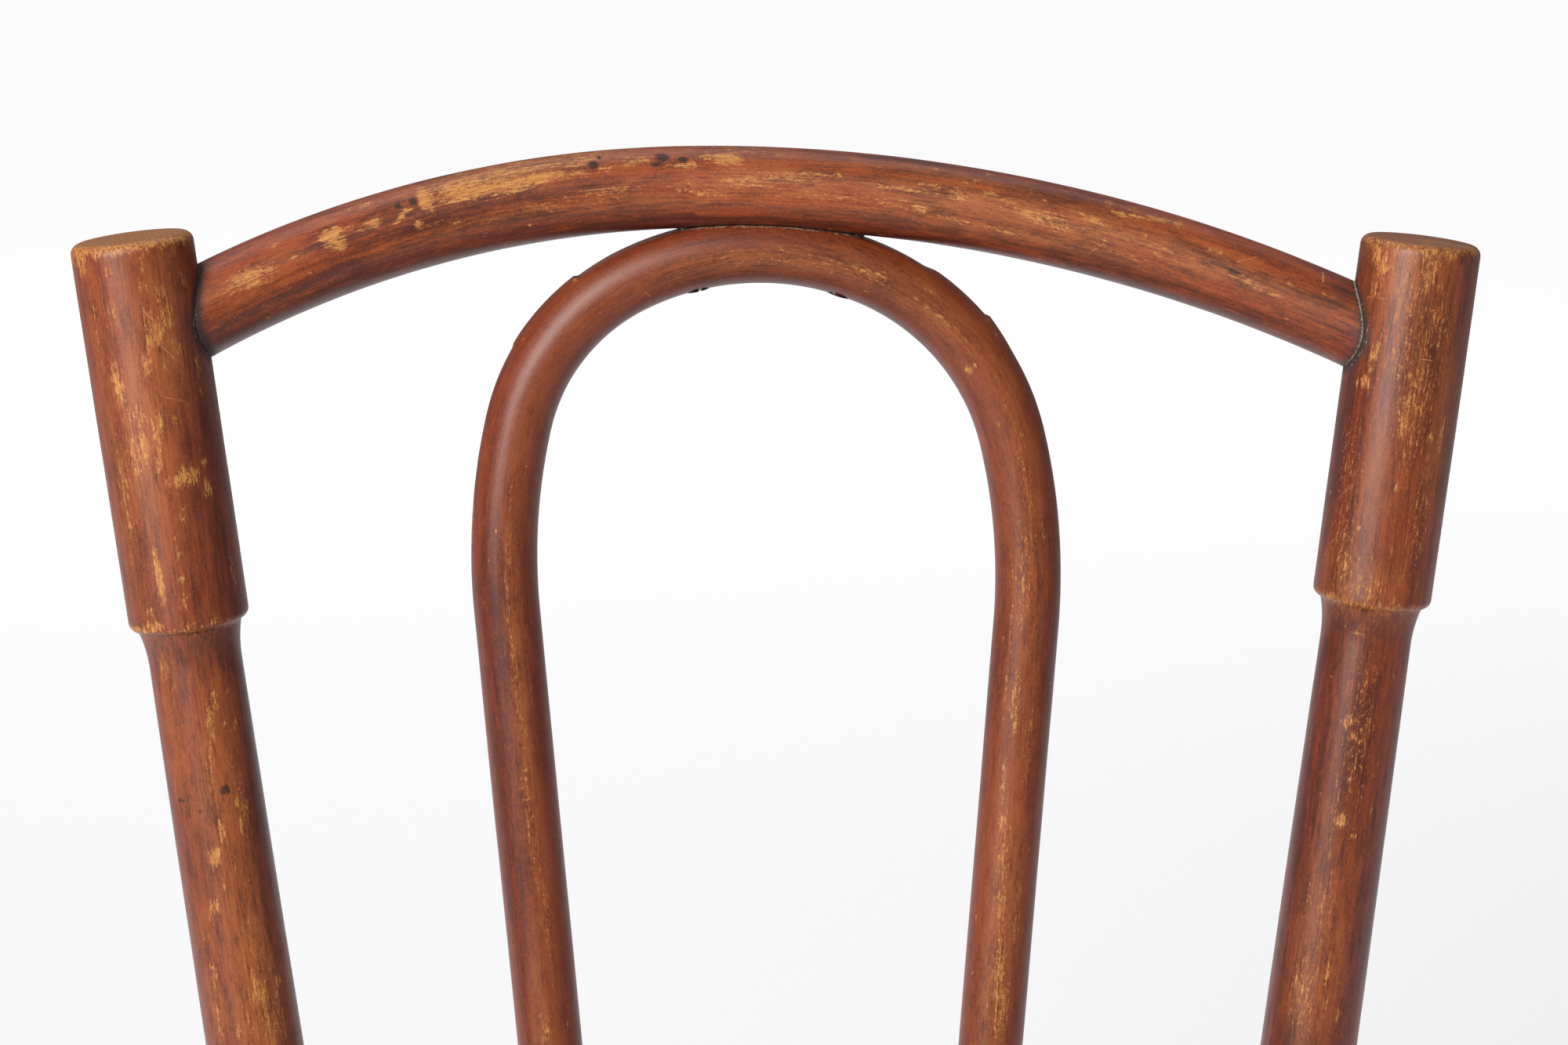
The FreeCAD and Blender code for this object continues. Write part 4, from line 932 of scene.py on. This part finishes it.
postMarks = {
    "left": {
        # rubbed finish, and painted highlight down the lit side of the head and shaft
        "rubbedAndHighlight": [
            (62, -112, 60, 5, 0.6), (52, -146, 48, 9, 0.85), (28, -175, 24, 9, 0.8),
            (150, -122, 40, 4, 0.6), (50, -150, 34, 9, 0.9), (165, -165, 40, 8, 0.75),
            (230, -172, 60, 9, 1), (230, -120, 40, 5, 0.5),
        ],
        # painted shade down one side of the post and under the head's lip
        "paintedShade": [
            (60, 140, 70, 7, 0.5), (123, 180, 7, 30, 0.7), (200, 140, 90, 6, 0.4),
        ],
        "wear": [
            (2, -93, 4.5, 7, 0.95), (2, -125, 2.5, 3, 0.95), (5, -103, 6, 2.5, 0.8), (5, 160, 1.2, 1, 0.85),
            (16, 180, 3, 2, 0.82), (22, 177, 6, 2.4, 0.82), (26, -172, 4, 1.8, 1.05),
            (29, -170, 2, 1.9, 1.05), (30, 175, 2.2, 1.9, 0.9), (33, 170, 3, 1.6, 0.7),
            (37, -178, 2.2, 1.5, 0.7), (21, -165, 1.7, 2, 0.88), (13, -165, 3.2, 1, 0.85),
            (8, -167, 2.2, 0.8, 0.8), (5, -167, 2, 0.8, 0.8), (36, -158, 4.2, 1.9, 1.08),
            (31, -160, 2, 1, 0.9), (55, -157, 7, 1.4, 0.92), (65, -155, 4.2, 1.3, 0.9),
            (53, -162, 3, 1.2, 0.98), (75, 161, 3.2, 2.2, 0.95), (70, 176, 3.6, 3, 0.9),
            (71, -170, 3, 3.2, 0.95), (67, 160, 1.6, 1.6, 0.9), (53, -175, 1.6, 0.9, 0.9),
            (54, 180, 1.1, 0.7, 0.9), (81, -170, 3.4, 0.8, 1.08), (77, -172, 0.6, 0.6, 0.95),
            # the six marks from (8, -136) to (66, -133) are pale wear with painted highlight in the head's
            # lit band
            (71, -160, 1.6, 1, 0.9), (8, -136, 2.6, 2, 0.75), (20, -134, 4, 1.6, 0.62),
            (40, -127, 9, 2.6, 0.8), (50, -140, 4, 5, 0.66), (60, -140, 7.5, 4.6, 0.84),
            (66, -133, 4, 1.6, 0.85), (98, -138, 8.2, 1.5, 1.25), (106, -140, 1.7, 1.5, 0.9),
            (75, -115, 20, 3, 0.55), (109, -122, 3.2, 0.9, 0.95), (114, -125, 2.2, 4, 0.95),
            (115.2, -103, 1.4, 9, 0.9), (92, -160, 2.6, 1.1, 0.92), (88, -158, 1.6, 0.9, 0.9),
            (100, -158, 1.3, 1.7, 1), (107, -157, 3.2, 1.1, 0.92), (114, 176, 1.6, 1.3, 0.9),
            (115, -160, 1.2, 1.6, 0.9), (20, -110, 14, 2, 0.5), (128, -118, 5, 2.6, 0.58),
            (147, -166, 8, 1.3, 0.88), (143, -169, 3, 1.1, 0.86), (155, -162, 5.5, 1.3, 0.88),
            (161, -157, 6, 1.1, 0.7), (148, 160, 3.2, 2.2, 0.52), (156, 175, 2.2, 2, 0.52),
            (171, 177, 3.2, 0.8, 1.02), (178, 176, 3.2, 0.7, 0.9), (170, -169, 1.7, 0.6, 0.98),
            (179, -160, 5.2, 1.3, 0.93), (190, -170, 3.2, 0.7, 0.8), (195, 178, 6, 0.7, 0.8),
            (208, -174, 5.2, 0.6, 0.88), (187, -147, 3.2, 2.7, 1), (185, -152, 2.2, 1.3, 1),
            (195, -153, 3.2, 0.9, 0.98), (202, -138, 2.7, 2.1, 0.95), (198, -142, 1.2, 1.1, 0.7),
            (225, 178, 9, 0.6, 0.95), (228, -172, 7, 0.6, 0.95), (232, -168, 3.4, 0.7, 1.05),
            (240, -160, 7, 0.6, 0.9), (235, -180, 11, 0.6, 0.88), (245, 178, 7, 0.6, 0.88),
            (222, 160, 3.2, 0.9, 0.7), (235, 162, 6, 0.9, 0.62), (243, 170, 2.2, 0.9, 0.8),
            (212, -117, 3.2, 1.1, 0.8), (224, -123, 6.5, 1.7, 0.78), (240, -120, 10, 1.3, 0.68),
            (242, -145, 3.2, 1.6, 0.78), (232, 180, 26, 6, 0.44), (205, -128, 2, 0.9, 0.8),
        ],
        "stain": [
            (166.5, -172, 1.2, 2.5, 1.15), (142.5, 170, 0.6, 4.2, 0.85), (169, -112, 0.7, 2.5, 0.85),
            (172, -138, 1.2, 1.4, 0.7), (3, -117, 2.4, 1.8, 0.6), (32, -172, 1.8, 1, 0.7),
            (80, -127, 0.5, 2.4, 0.6), (50, -126, 0.5, 2, 0.55),
        ],
        "lines": [
            (31, -174, 35, 176, 18.1, 0.3), (20, -162, 23, -170, 18.1, 0.3),
            (46, -170, 48, 172, 18.1, 0.16),
        ],
    },
    "right": {
        # rubbed finish, and painted highlight down the lit side of the head and shaft
        "rubbedAndHighlight": [
            (4, 175, 22, 16, 0.8), (70, 178, 60, 5, 0.45), (104, -175, 12, 14, 0.6), (52, 118, 30, 4, 0.6),
            (225, 172, 40, 9, 0.6), (40, 155, 40, 4, 0.5),
        ],
        # painted shade down one side of the post and under the head's lip
        "paintedShade": [
            (60, -135, 70, 7, 0.5), (117, 180, 7, 30, 0.6), (190, -150, 90, 9, 0.75),
        ],
        "wear": [
            (1, 100, 2.4, 5, 0.9), (2, 138, 3, 3, 0.85), (2, 156, 4, 4.5, 0.82), (8, 158, 6, 3.2, 0.66),
            (6, 150, 4, 1, 0.72), (14, 174, 11, 4, 0.55), (20, 170, 7, 2.2, 0.52),
            (8, -158, 5.5, 3.6, 0.92), (5, -150, 4.2, 3.2, 0.88), (15, -155, 3.4, 2.2, 0.78),
            (2, -140, 2.4, 3.2, 0.7), (30, -167, 5.5, 0.9, 0.7), (36, -160, 5.5, 1.3, 0.86),
            (43, -156, 2.7, 2.1, 1.08), (33, -163, 3.2, 0.8, 0.86), (44, -145, 3.2, 0.7, 0.7),
            (17.5, -155, 0.5, 4.2, 0.85), (56, 117.5, 8.5, 1.4, 0.84), (23, 122, 1.4, 0.9, 0.75),
            (57, 132, 2.2, 1.9, 0.8), (47, 158, 3.2, 1.3, 0.86), (54, 160, 6.2, 2.1, 0.82),
            (73, 159, 1.5, 0.9, 0.88), (100, 141, 3.2, 1.2, 0.8), (92, 155, 2.2, 0.7, 0.7),
            (18, 155, 1.4, 0.9, 0.8), (12, 142, 3.2, 1.6, 0.5), (105, 176, 6, 7, 0.56),
            (100, -165, 9, 5.5, 0.54), (88, -155, 9, 4.5, 0.46), (110.2, 170, 2.2, 30, 0.74),
            (110.2, -160, 2.2, 12, 0.74), (119.3, 176, 1, 2.6, 0.92), (126, 105, 1, 2.2, 0.72),
            (132, 118, 1.8, 2.2, 0.56), (147, 175, 2.3, 2.2, 0.88), (152, 165, 1.3, 1.8, 0.88),
            (178, 165, 3.2, 1.7, 0.98), (178, 171, 2.2, 1.2, 0.8), (182.5, 147, 1.1, 1.6, 0.86),
            (174.5, 129, 1, 0.7, 0.88), (176, 175, 9, 0.9, 0.62), (186, 178, 6, 0.7, 0.7),
            (226, 158, 7, 1.1, 0.88), (230, 175, 3.4, 0.7, 0.7), (233, -172, 2.3, 1.9, 0.93),
            (232, -165, 3.4, 1.3, 0.98), (224, -172, 1.8, 1.1, 0.8), (238, 155, 4.2, 0.9, 0.8),
            (229, 140, 2.2, 0.8, 0.7), (240, 137, 3.4, 0.8, 0.8), (205, 172, 16, 3, 0.48),
            (205, -166, 9, 2, 0.48), (235, -176, 14, 5, 0.5), (46, 150, 26, 8, 0.52), (30, 168, 16, 8, 0.5),
            (24, 136, 10, 5, 0.5), (80, 130, 24, 5, 0.46), (75, -150, 26, 6, 0.42), (150, 160, 30, 6, 0.42),
        ],
        "stain": [
            (90, 161, 18, 0.35, 0.85), (73, 163, 2, 0.6, 0.8), (139, 145, 3, 1.6, 0.5),
            (151, 146, 2, 1.6, 0.5), (30, -142, 12, 2.5, 0.5), (3, 122, 3, 3, 0.6), (192, 172, 3, 2.5, 0.4),
        ],
        "lines": [
            (33.8, 141, 33.6, 152, 18.1, 0.26), (42.8, 146, 41.5, 158, 18.1, 0.24),
            (69, 88, 66, 142, 18.1, 0.18), (17.3, -164, 17.8, -144, 18.1, 0.2),
            (84, 90, 82, 102, 18.1, 0.16),
        ],
    },
}


def makePost(sideName, material):
    size, sign = backPost, sideSigns[sideName]
    legs, length = postWays[sideName]
    headLength, topWear = size["headLengths"][sideName], size["topWear"][sideName]
    shape = turnRod(postOutline(headLength, legs[1][0], legs[2][0], length), size["sides"])
    roughen(shape, 3 + sign, size["waviness"], size["waveLength"])
    bendRod(shape, lambda along: onWay(legs, along))
    trimFoot(shape)
    nodeName = "back_post_" + sideName
    mesh = finishPiece(shape, nodeName + "_turned", nodeName, material)
    hidden = scattered(21 + sign, 30, (0, 250), size["behind"][sideName])
    hidden += scattered(31 + sign, 70, (262, length), (-180, 180))
    hidden += knocked(53 + sign, 240, (2, length), (-180, 180))
    wear = spread(mesh, postMarks[sideName]["wear"] + hidden)
    for rim in ((0.0, 0.8, topWear), (1.0, 2.6, topWear + 0.15, size["headRadius"] - 1.0),
                (headLength - 1.0, 2.0, 0.50), (length, 7.0, 0.8)):
        wear = np.maximum(wear, rimAt(mesh, *rim))
    toCrest = gapTo(mesh, crestLine, crestRail["radii"]["middle"] + 0.4)
    # grime and painted shade, darker the nearer the crest rail, and dust in the seam
    keepSkin(mesh, postMarks[sideName], wear, 0.95 * np.exp(-toCrest / size["grimeAndShadeReach"][sideName]),
             0.5 * np.exp(-((toCrest - 0.8) / 0.4) ** 2))


postWood = {}
for sideName, sign in sideSigns.items():
    # the posts take a darker copy of the crest rail's wood, as painted shade
    postLook = {**woodLook, "shift": 5.0 + sign, "lines": postMarks[sideName]["lines"],
                "middle": shade(134, 55, 24), "warm": shade(158, 73, 32)}
    postWood[sideName] = stainedWood("stained_post_" + sideName, postLook, skinCoords)
crestWood = stainedWood("stained_crest", {**woodLook, "lines": crestMarks["lines"]}, skinCoords)
# the hoop takes a darker copy of the crest rail's wood, as painted shade
hoopLook = {**woodLook, "shift": 9.0, "lines": hoopMarks["lines"], "streak": 0.35, "fine": 0.35,
            "mottle": 0.4, "middle": shade(134, 56, 25), "warm": shade(150, 72, 34)}
hoopWood = stainedWood("stained_hoop", hoopLook, skinCoords)
makeCrest(crestWood)
makeHoop(hoopWood)
for sideName in sideSigns:
    makePost(sideName, postWood[sideName])
print("bent pieces made")

# Woven cane: pairs of strands lengthways and crossways, single strands on both diagonals, round octagonal
# holes
caneSeat = {
    "pitch": 12.5,
    "pairGap": 3.2,
    "strandWidth": 2.3,
    "strandThickness": 0.55,
    "diagonalLift": 0.62,
    "sag": 3.0,
    "sagShape": 1.2,
    "boreRadius": 162.0,
    "grooveRadius": 168.8,
    "endRadius": 170.3,
    "restHeight": 0.55,
    "endDrop": 5.5,
    "endTurn": 1.2,
    "rimMargin": 3,
    "stepsPerPitch": 8,
    "diagonalSpacing": 0.85,
}


def sheetHeight(reach):
    # sags in the bore, lies on the ring, turns down into the groove
    size = caneSeat
    if reach < size["boreRadius"]:
        return size["restHeight"] - size["sag"] * (1 - (reach / size["boreRadius"]) ** 2) ** size["sagShape"]
    if reach < size["grooveRadius"]:
        return size["restHeight"]
    return size["restHeight"] - size["endDrop"] * min(1.0, (reach - size["grooveRadius"]) / size["endTurn"])


def crossing(distance):
    gap = caneSeat["pairGap"]
    return sin(pi * distance / gap) if abs(distance) < gap else 0.0


def toPair(value):
    # signed distance to the middle of the nearest pair
    pitch = caneSeat["pitch"]
    return (value % pitch) - pitch / 2


def weaveLift(family, x, y, sideOfPair):
    size = caneSeat
    if family == "lengthways":
        return sideOfPair * size["strandThickness"] / 2 * crossing(toPair(y))
    if family == "crossways":
        return -sideOfPair * size["strandThickness"] / 2 * crossing(toPair(x))
    turn = 2 * pi * toPair(x) / size["pitch"]
    return sideOfPair * size["diagonalLift"] * cos(turn)


def addStrand(shape, layers, family, start, way, length, sideOfPair, tone):
    # one strand: a flat closed tube made from a grid, bent over and under the others
    size = caneSeat
    spacing = size["pitch"] / size["stepsPerPitch"]
    if family == "diagonal":
        spacing *= size["diagonalSpacing"]
    steps = max(4, ceil(length / spacing))
    across = Vector((way[1], -way[0], 0))
    made = bmesh.ops.create_grid(shape, x_segments=steps, y_segments=4, size=1)
    for corner in made["verts"]:
        along = (corner.co.x + 1) / 2 * length
        turn = pi * (corner.co.y + 1)
        sideways = cos(turn) * size["strandWidth"] / 2
        crown = sin(turn) * size["strandThickness"] / 2
        x = start[0] + way[0] * along + across.x * sideways
        y = start[1] + way[1] * along + across.y * sideways
        lift = weaveLift(family, start[0] + way[0] * along, start[1] + way[1] * along, sideOfPair)
        corner[layers] = (along, cos(turn), tone)
        height = sheetHeight(hypot(x, y)) + lift + crown
        corner.co = (seatCentre.x + x, seatCentre.y + y, seatCentre.z + height)


def strandsOf(family):
    # start, way, length, side of its pair or of the weave, for every strand that crosses the ring
    size = caneSeat
    radius, pitch = size["endRadius"], size["pitch"]
    count = ceil(radius * 1.5 / pitch)
    lines = []
    for step in range(-count, count):
        if family in ("lengthways", "crossways"):
            for sideOfPair in (-1, 1):
                offset = (step + 0.5) * pitch + sideOfPair * size["pairGap"] / 2
                way = (0, 1) if family == "lengthways" else (1, 0)
                lines.append((offset, way, sideOfPair))
        else:
            for sideOfPair, way in ((1, (sqrt(0.5), sqrt(0.5))), (-1, (sqrt(0.5), -sqrt(0.5)))):
                shift = 0.5 if sideOfPair < 0 else 0.0
                lines.append(((step + shift) * pitch * sqrt(0.5), way, sideOfPair))
    for offset, way, sideOfPair in lines:
        if abs(offset) < radius - size["rimMargin"]:
            half = sqrt(radius ** 2 - offset ** 2)
            normal = (-way[1], way[0])
            start = (normal[0] * offset - way[0] * half, normal[1] * offset - way[1] * half)
            yield start, way, half * 2, sideOfPair


def makeCane(family, material):
    dice = random.Random(len(family))
    shape = bmesh.new()
    layers = shape.verts.layers.float_vector.new("strand")
    for start, way, length, sideOfPair in strandsOf(family):
        addStrand(shape, layers, family, start, way, length, sideOfPair, dice.random())
    bmesh.ops.remove_doubles(shape, verts=shape.verts[:], dist=0.0005)
    bmesh.ops.holes_fill(shape, edges=[edge for edge in shape.edges if edge.is_boundary], sides=8)
    bmesh.ops.recalc_face_normals(shape, faces=shape.faces[:])
    finishPiece(shape, "cane_" + family, "cane_panel", material)


def caneSkin():
    shader = Shader("aged_cane")
    strand = shader.add("Attribute", attribute_name="strand").outputs["Vector"]
    parts = shader.add("SeparateXYZ", {0: strand}).outputs
    fibre = shader.cloud(shader.vector("MULTIPLY", strand, (0.05, 4.0, 60.0)), 1.0, 4.0, 0.65)
    spots = shader.cloud(shader.objectPlace(), 55.0, 4.0, 0.6)
    tone = shader.times(parts[2], 0.34, shader.times(fibre, 0.66))
    colour = shader.ramp(tone, ((0.22, shade(150, 104, 56)), (0.46, shade(194, 146, 84)),
                                (0.74, shade(222, 182, 118))))
    edge = shader.step(shader.sum("ABSOLUTE", parts[1]), 0.62, 1.0)
    colour = shader.cover(colour, edge, shade(112, 70, 36), 0.55)
    colour = shader.cover(colour, shader.step(spots, 0.54, 0.72), shade(136, 86, 44), 0.5)
    height = shader.times(fibre, 0.8, shader.times(spots, 0.2))
    return shader.surface({"Base Color": colour, "Roughness": shader.times(fibre, 0.25, 0.30),
                           "Specular IOR Level": 0.5}, shader.bump(height, 0.5, 0.0001))


caneMaterial = caneSkin()
for family in ("lengthways", "crossways", "diagonal"):
    makeCane(family, caneMaterial)
print("cane woven")


# Steel: screws, bolts, washers, nuts and brads, dulled and a little rusty
def agedSteel():
    shader = Shader("aged_steel")
    coords = shader.objectPlace()
    mist = shader.cloud(coords, 260.0, 5.0, 0.6)
    pits = shader.cloud(coords, 1400.0, 3.0, 0.6)
    colour = shader.ramp(mist, ((0.34, shade(58, 52, 48)), (0.52, shade(104, 98, 92)),
                                (0.70, shade(142, 136, 128))))
    rust = shader.step(shader.times(pits, 0.5, shader.times(mist, 0.5)), 0.52, 0.62)
    colour = shader.cover(colour, rust, shade(96, 50, 26), 0.8)
    rough = shader.times(rust, 0.35, shader.times(mist, 0.25, 0.25))
    return shader.surface({"Base Color": colour, "Metallic": shader.times(rust, -0.7, 0.95),
                           "Roughness": rough}, shader.bump(pits, 0.4, 0.00008))


def dress(name, material):
    # a CAD node keeps its shape and gets a better finish
    for slot in bpy.data.objects[name].material_slots:
        slot.material = material


steel = agedSteel()
for name in nodes:
    if any(word in name for word in ("screw", "bolt", "washer", "nut", "brad")):
        dress(name, steel)

# Front legs, turned with a stepped head that meets the seat ring from below
frontLeg = {
    "topOffset": 125.04,
    "topForward": 129.48,
    "topHeight": 428.0,
    # the way from the right leg's foot to its top
    "way": (-0.0545, 0.0564, 0.9969),
    # worn below the head, at the floor and halfway: (along, reach, strength)
    "rims": ((-64.0, 5.0, 0.70), (-429.4, 12.0, 0.90), (-210.0, 26.0, 0.45)),
}
for sideName, sign in sideSigns.items():
    legTop = Vector((sign * frontLeg["topOffset"], -frontLeg["topForward"], frontLeg["topHeight"]))
    legTop += Vector((seatCentre.x, seatCentre.y, 0))
    inward, back, up = frontLeg["way"]
    turn = Vector((sign * inward, back, up)).to_track_quat("Z", "X").to_euler()
    legLook = {**woodLook, "shift": 30.0 + 4 * sign, "patches": 0.40, "wornAll": 0.14, "rubbedAll": 0.3,
               "rims": frontLeg["rims"]}
    legWood = stainedWood("stained_front_leg_" + sideName, legLook,
                          lambda shader: axisCoords(shader, legTop * mm, turn))
    dress("front_leg_" + sideName, legWood)

# Seat ring, ring stretcher and reed spline: its wood's name, its centre, the radius that the grain runs
# round at, and what differs from the other wood. Edges are worn places in the section: (outward, up,
# reach, strength).
legRingLow, legRingHigh = (inMillimetres(corner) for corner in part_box("leg_ring"))
rings = {
    "seat_ring": ("stained_seat_ring", seatCentre, 182.0, {
        "shift": 41.0, "patches": 0.40, "wornAll": 0.14, "rubbedAll": 0.25,
        "edges": ((19.0, -1.0, 7.0, 1.1), (-11.0, 0.0, 3.0, 0.8), (20.0, -12.0, 6.0, 0.45))}),
    "leg_ring": ("stained_leg_ring", (legRingLow + legRingHigh) / 2, 187.5, {
        "shift": 53.0, "patches": 0.50, "wornAll": 0.16, "rubbedAll": 0.25,
        "edges": ((3.0, 10.0, 9.0, 1.1),)}),
    "cane_spline": ("stained_reed", seatCentre, 171.7, {
        "shift": 67.0, "deep": shade(96, 56, 30), "dark": shade(136, 86, 46), "middle": shade(172, 116, 64),
        "warm": shade(204, 152, 92), "wornAll": 0.2}),
}
for name, (woodName, centre, radius, changed) in rings.items():
    dress(name, stainedWood(woodName, {**woodLook, **changed},
                            lambda shader: ringCoords(shader, centre * mm, radius)))
print("frame dressed")

# Camera in front, a little to the left, looking down on the upper back
camera = {
    "place": (-0.06858, -0.85549, 1.20052),
    "turn": (67.662, -0.4135, -3.6224),
    "lens": 85.0,
    "sensor": 36.0,
    "clipStart": 0.05,
}
cameraData = bpy.data.cameras.new("camera")
cameraData.lens = camera["lens"]
cameraData.sensor_width = camera["sensor"]
cameraData.clip_start = camera["clipStart"]
cameraObject = addObject("camera", cameraData)
cameraObject.location = camera["place"]
cameraObject.rotation_euler = [radians(angle) for angle in camera["turn"]]
bpy.context.scene.camera = cameraObject

# Pale floor and soft studio light
studio = {
    "floorSize": 8.0,
    # the floor fades into the pale room between these distances from the chair
    "floorFade": (1.4, 3.2),
    "floorColour": (0.80, 0.80, 0.81, 1.0),
    "skyColour": (1.0, 1.0, 1.0, 1.0),
    "skyStrength": 0.20,
    "floorLight": 1.15,
    "backdropStrength": 0.96,
    # place, what it points at, width, height, power, spread in degrees
    "key": ((-1.30, -1.45, 1.95), (0.0, 0.15, 0.84), 1.1, 2.2, 23.5, 110.0),
    "overhead": ((-0.4, 3.0, 3.4), (-0.3, 2.8, 0.0), 4.5, 3.5, 36.0, 110.0),
}
floorShape = bmesh.new()
bmesh.ops.create_grid(floorShape, x_segments=1, y_segments=1, size=studio["floorSize"] / 2)
floorMesh = bpy.data.meshes.new("floor")
floorShape.to_mesh(floorMesh)
floorShape.free()
floorShader = Shader("floor_paper")
paper = floorShader.cloud(floorShader.objectPlace(), 40.0, 2.0, 0.5)
fromChair = floorShader.vector("LENGTH", floorShader.objectPlace(), result="Value")
fadeStart, fadeEnd = studio["floorFade"]
floorLook = {"Base Color": studio["floorColour"], "Roughness": 0.9,
             "Alpha": floorShader.step(fromChair, fadeEnd, fadeStart)}
floorMesh.materials.append(floorShader.surface(floorLook, floorShader.bump(paper, 0.05, 0.0005)))
floorObject = addObject("floor", floorMesh)

world = bpy.data.worlds.new("studio")
bpy.context.scene.world = world
world.use_nodes = True
sky = world.node_tree.nodes["Background"]
sky.inputs["Color"].default_value = studio["skyColour"]
sky.inputs["Strength"].default_value = studio["skyStrength"]
# beyond the floor the room is as pale as the floor, without lighting the chair more
backdrop = world.node_tree.nodes.new("ShaderNodeBackground")
backdrop.inputs["Color"].default_value = studio["skyColour"]
backdrop.inputs["Strength"].default_value = studio["backdropStrength"]
rays = world.node_tree.nodes.new("ShaderNodeLightPath")
either = world.node_tree.nodes.new("ShaderNodeMixShader")
world.node_tree.links.new(rays.outputs["Is Camera Ray"], either.inputs[0])
world.node_tree.links.new(sky.outputs[0], either.inputs[1])
world.node_tree.links.new(backdrop.outputs[0], either.inputs[2])
world.node_tree.links.new(either.outputs[0], world.node_tree.nodes["World Output"].inputs["Surface"])
for lightName in ("key", "overhead"):
    place, aim, width, height, power, spreadAngle = studio[lightName]
    lightData = bpy.data.lights.new(lightName, "AREA")
    lightData.shape = "RECTANGLE"
    lightData.size, lightData.size_y = width, height
    lightData.energy = power
    lightData.spread = radians(spreadAngle)
    light = addObject(lightName, lightData)
    light.location = place
    light.rotation_euler = (Vector(aim) - Vector(place)).to_track_quat("-Z", "Y").to_euler()
# even light that only the floor takes, so that it stays pale all round
floorOnly = bpy.data.collections.new("floor_only")
floorOnly.objects.link(floorObject)
evenData = bpy.data.lights.new("floor_light", "SUN")
evenData.energy = studio["floorLight"]
evenLight = addObject("floor_light", evenData)
evenLight.light_linking.receiver_collection = floorOnly
evenLight.light_linking.blocker_collection = floorOnly

bpy.context.scene.view_settings.view_transform = "Standard"

print("scene ready")
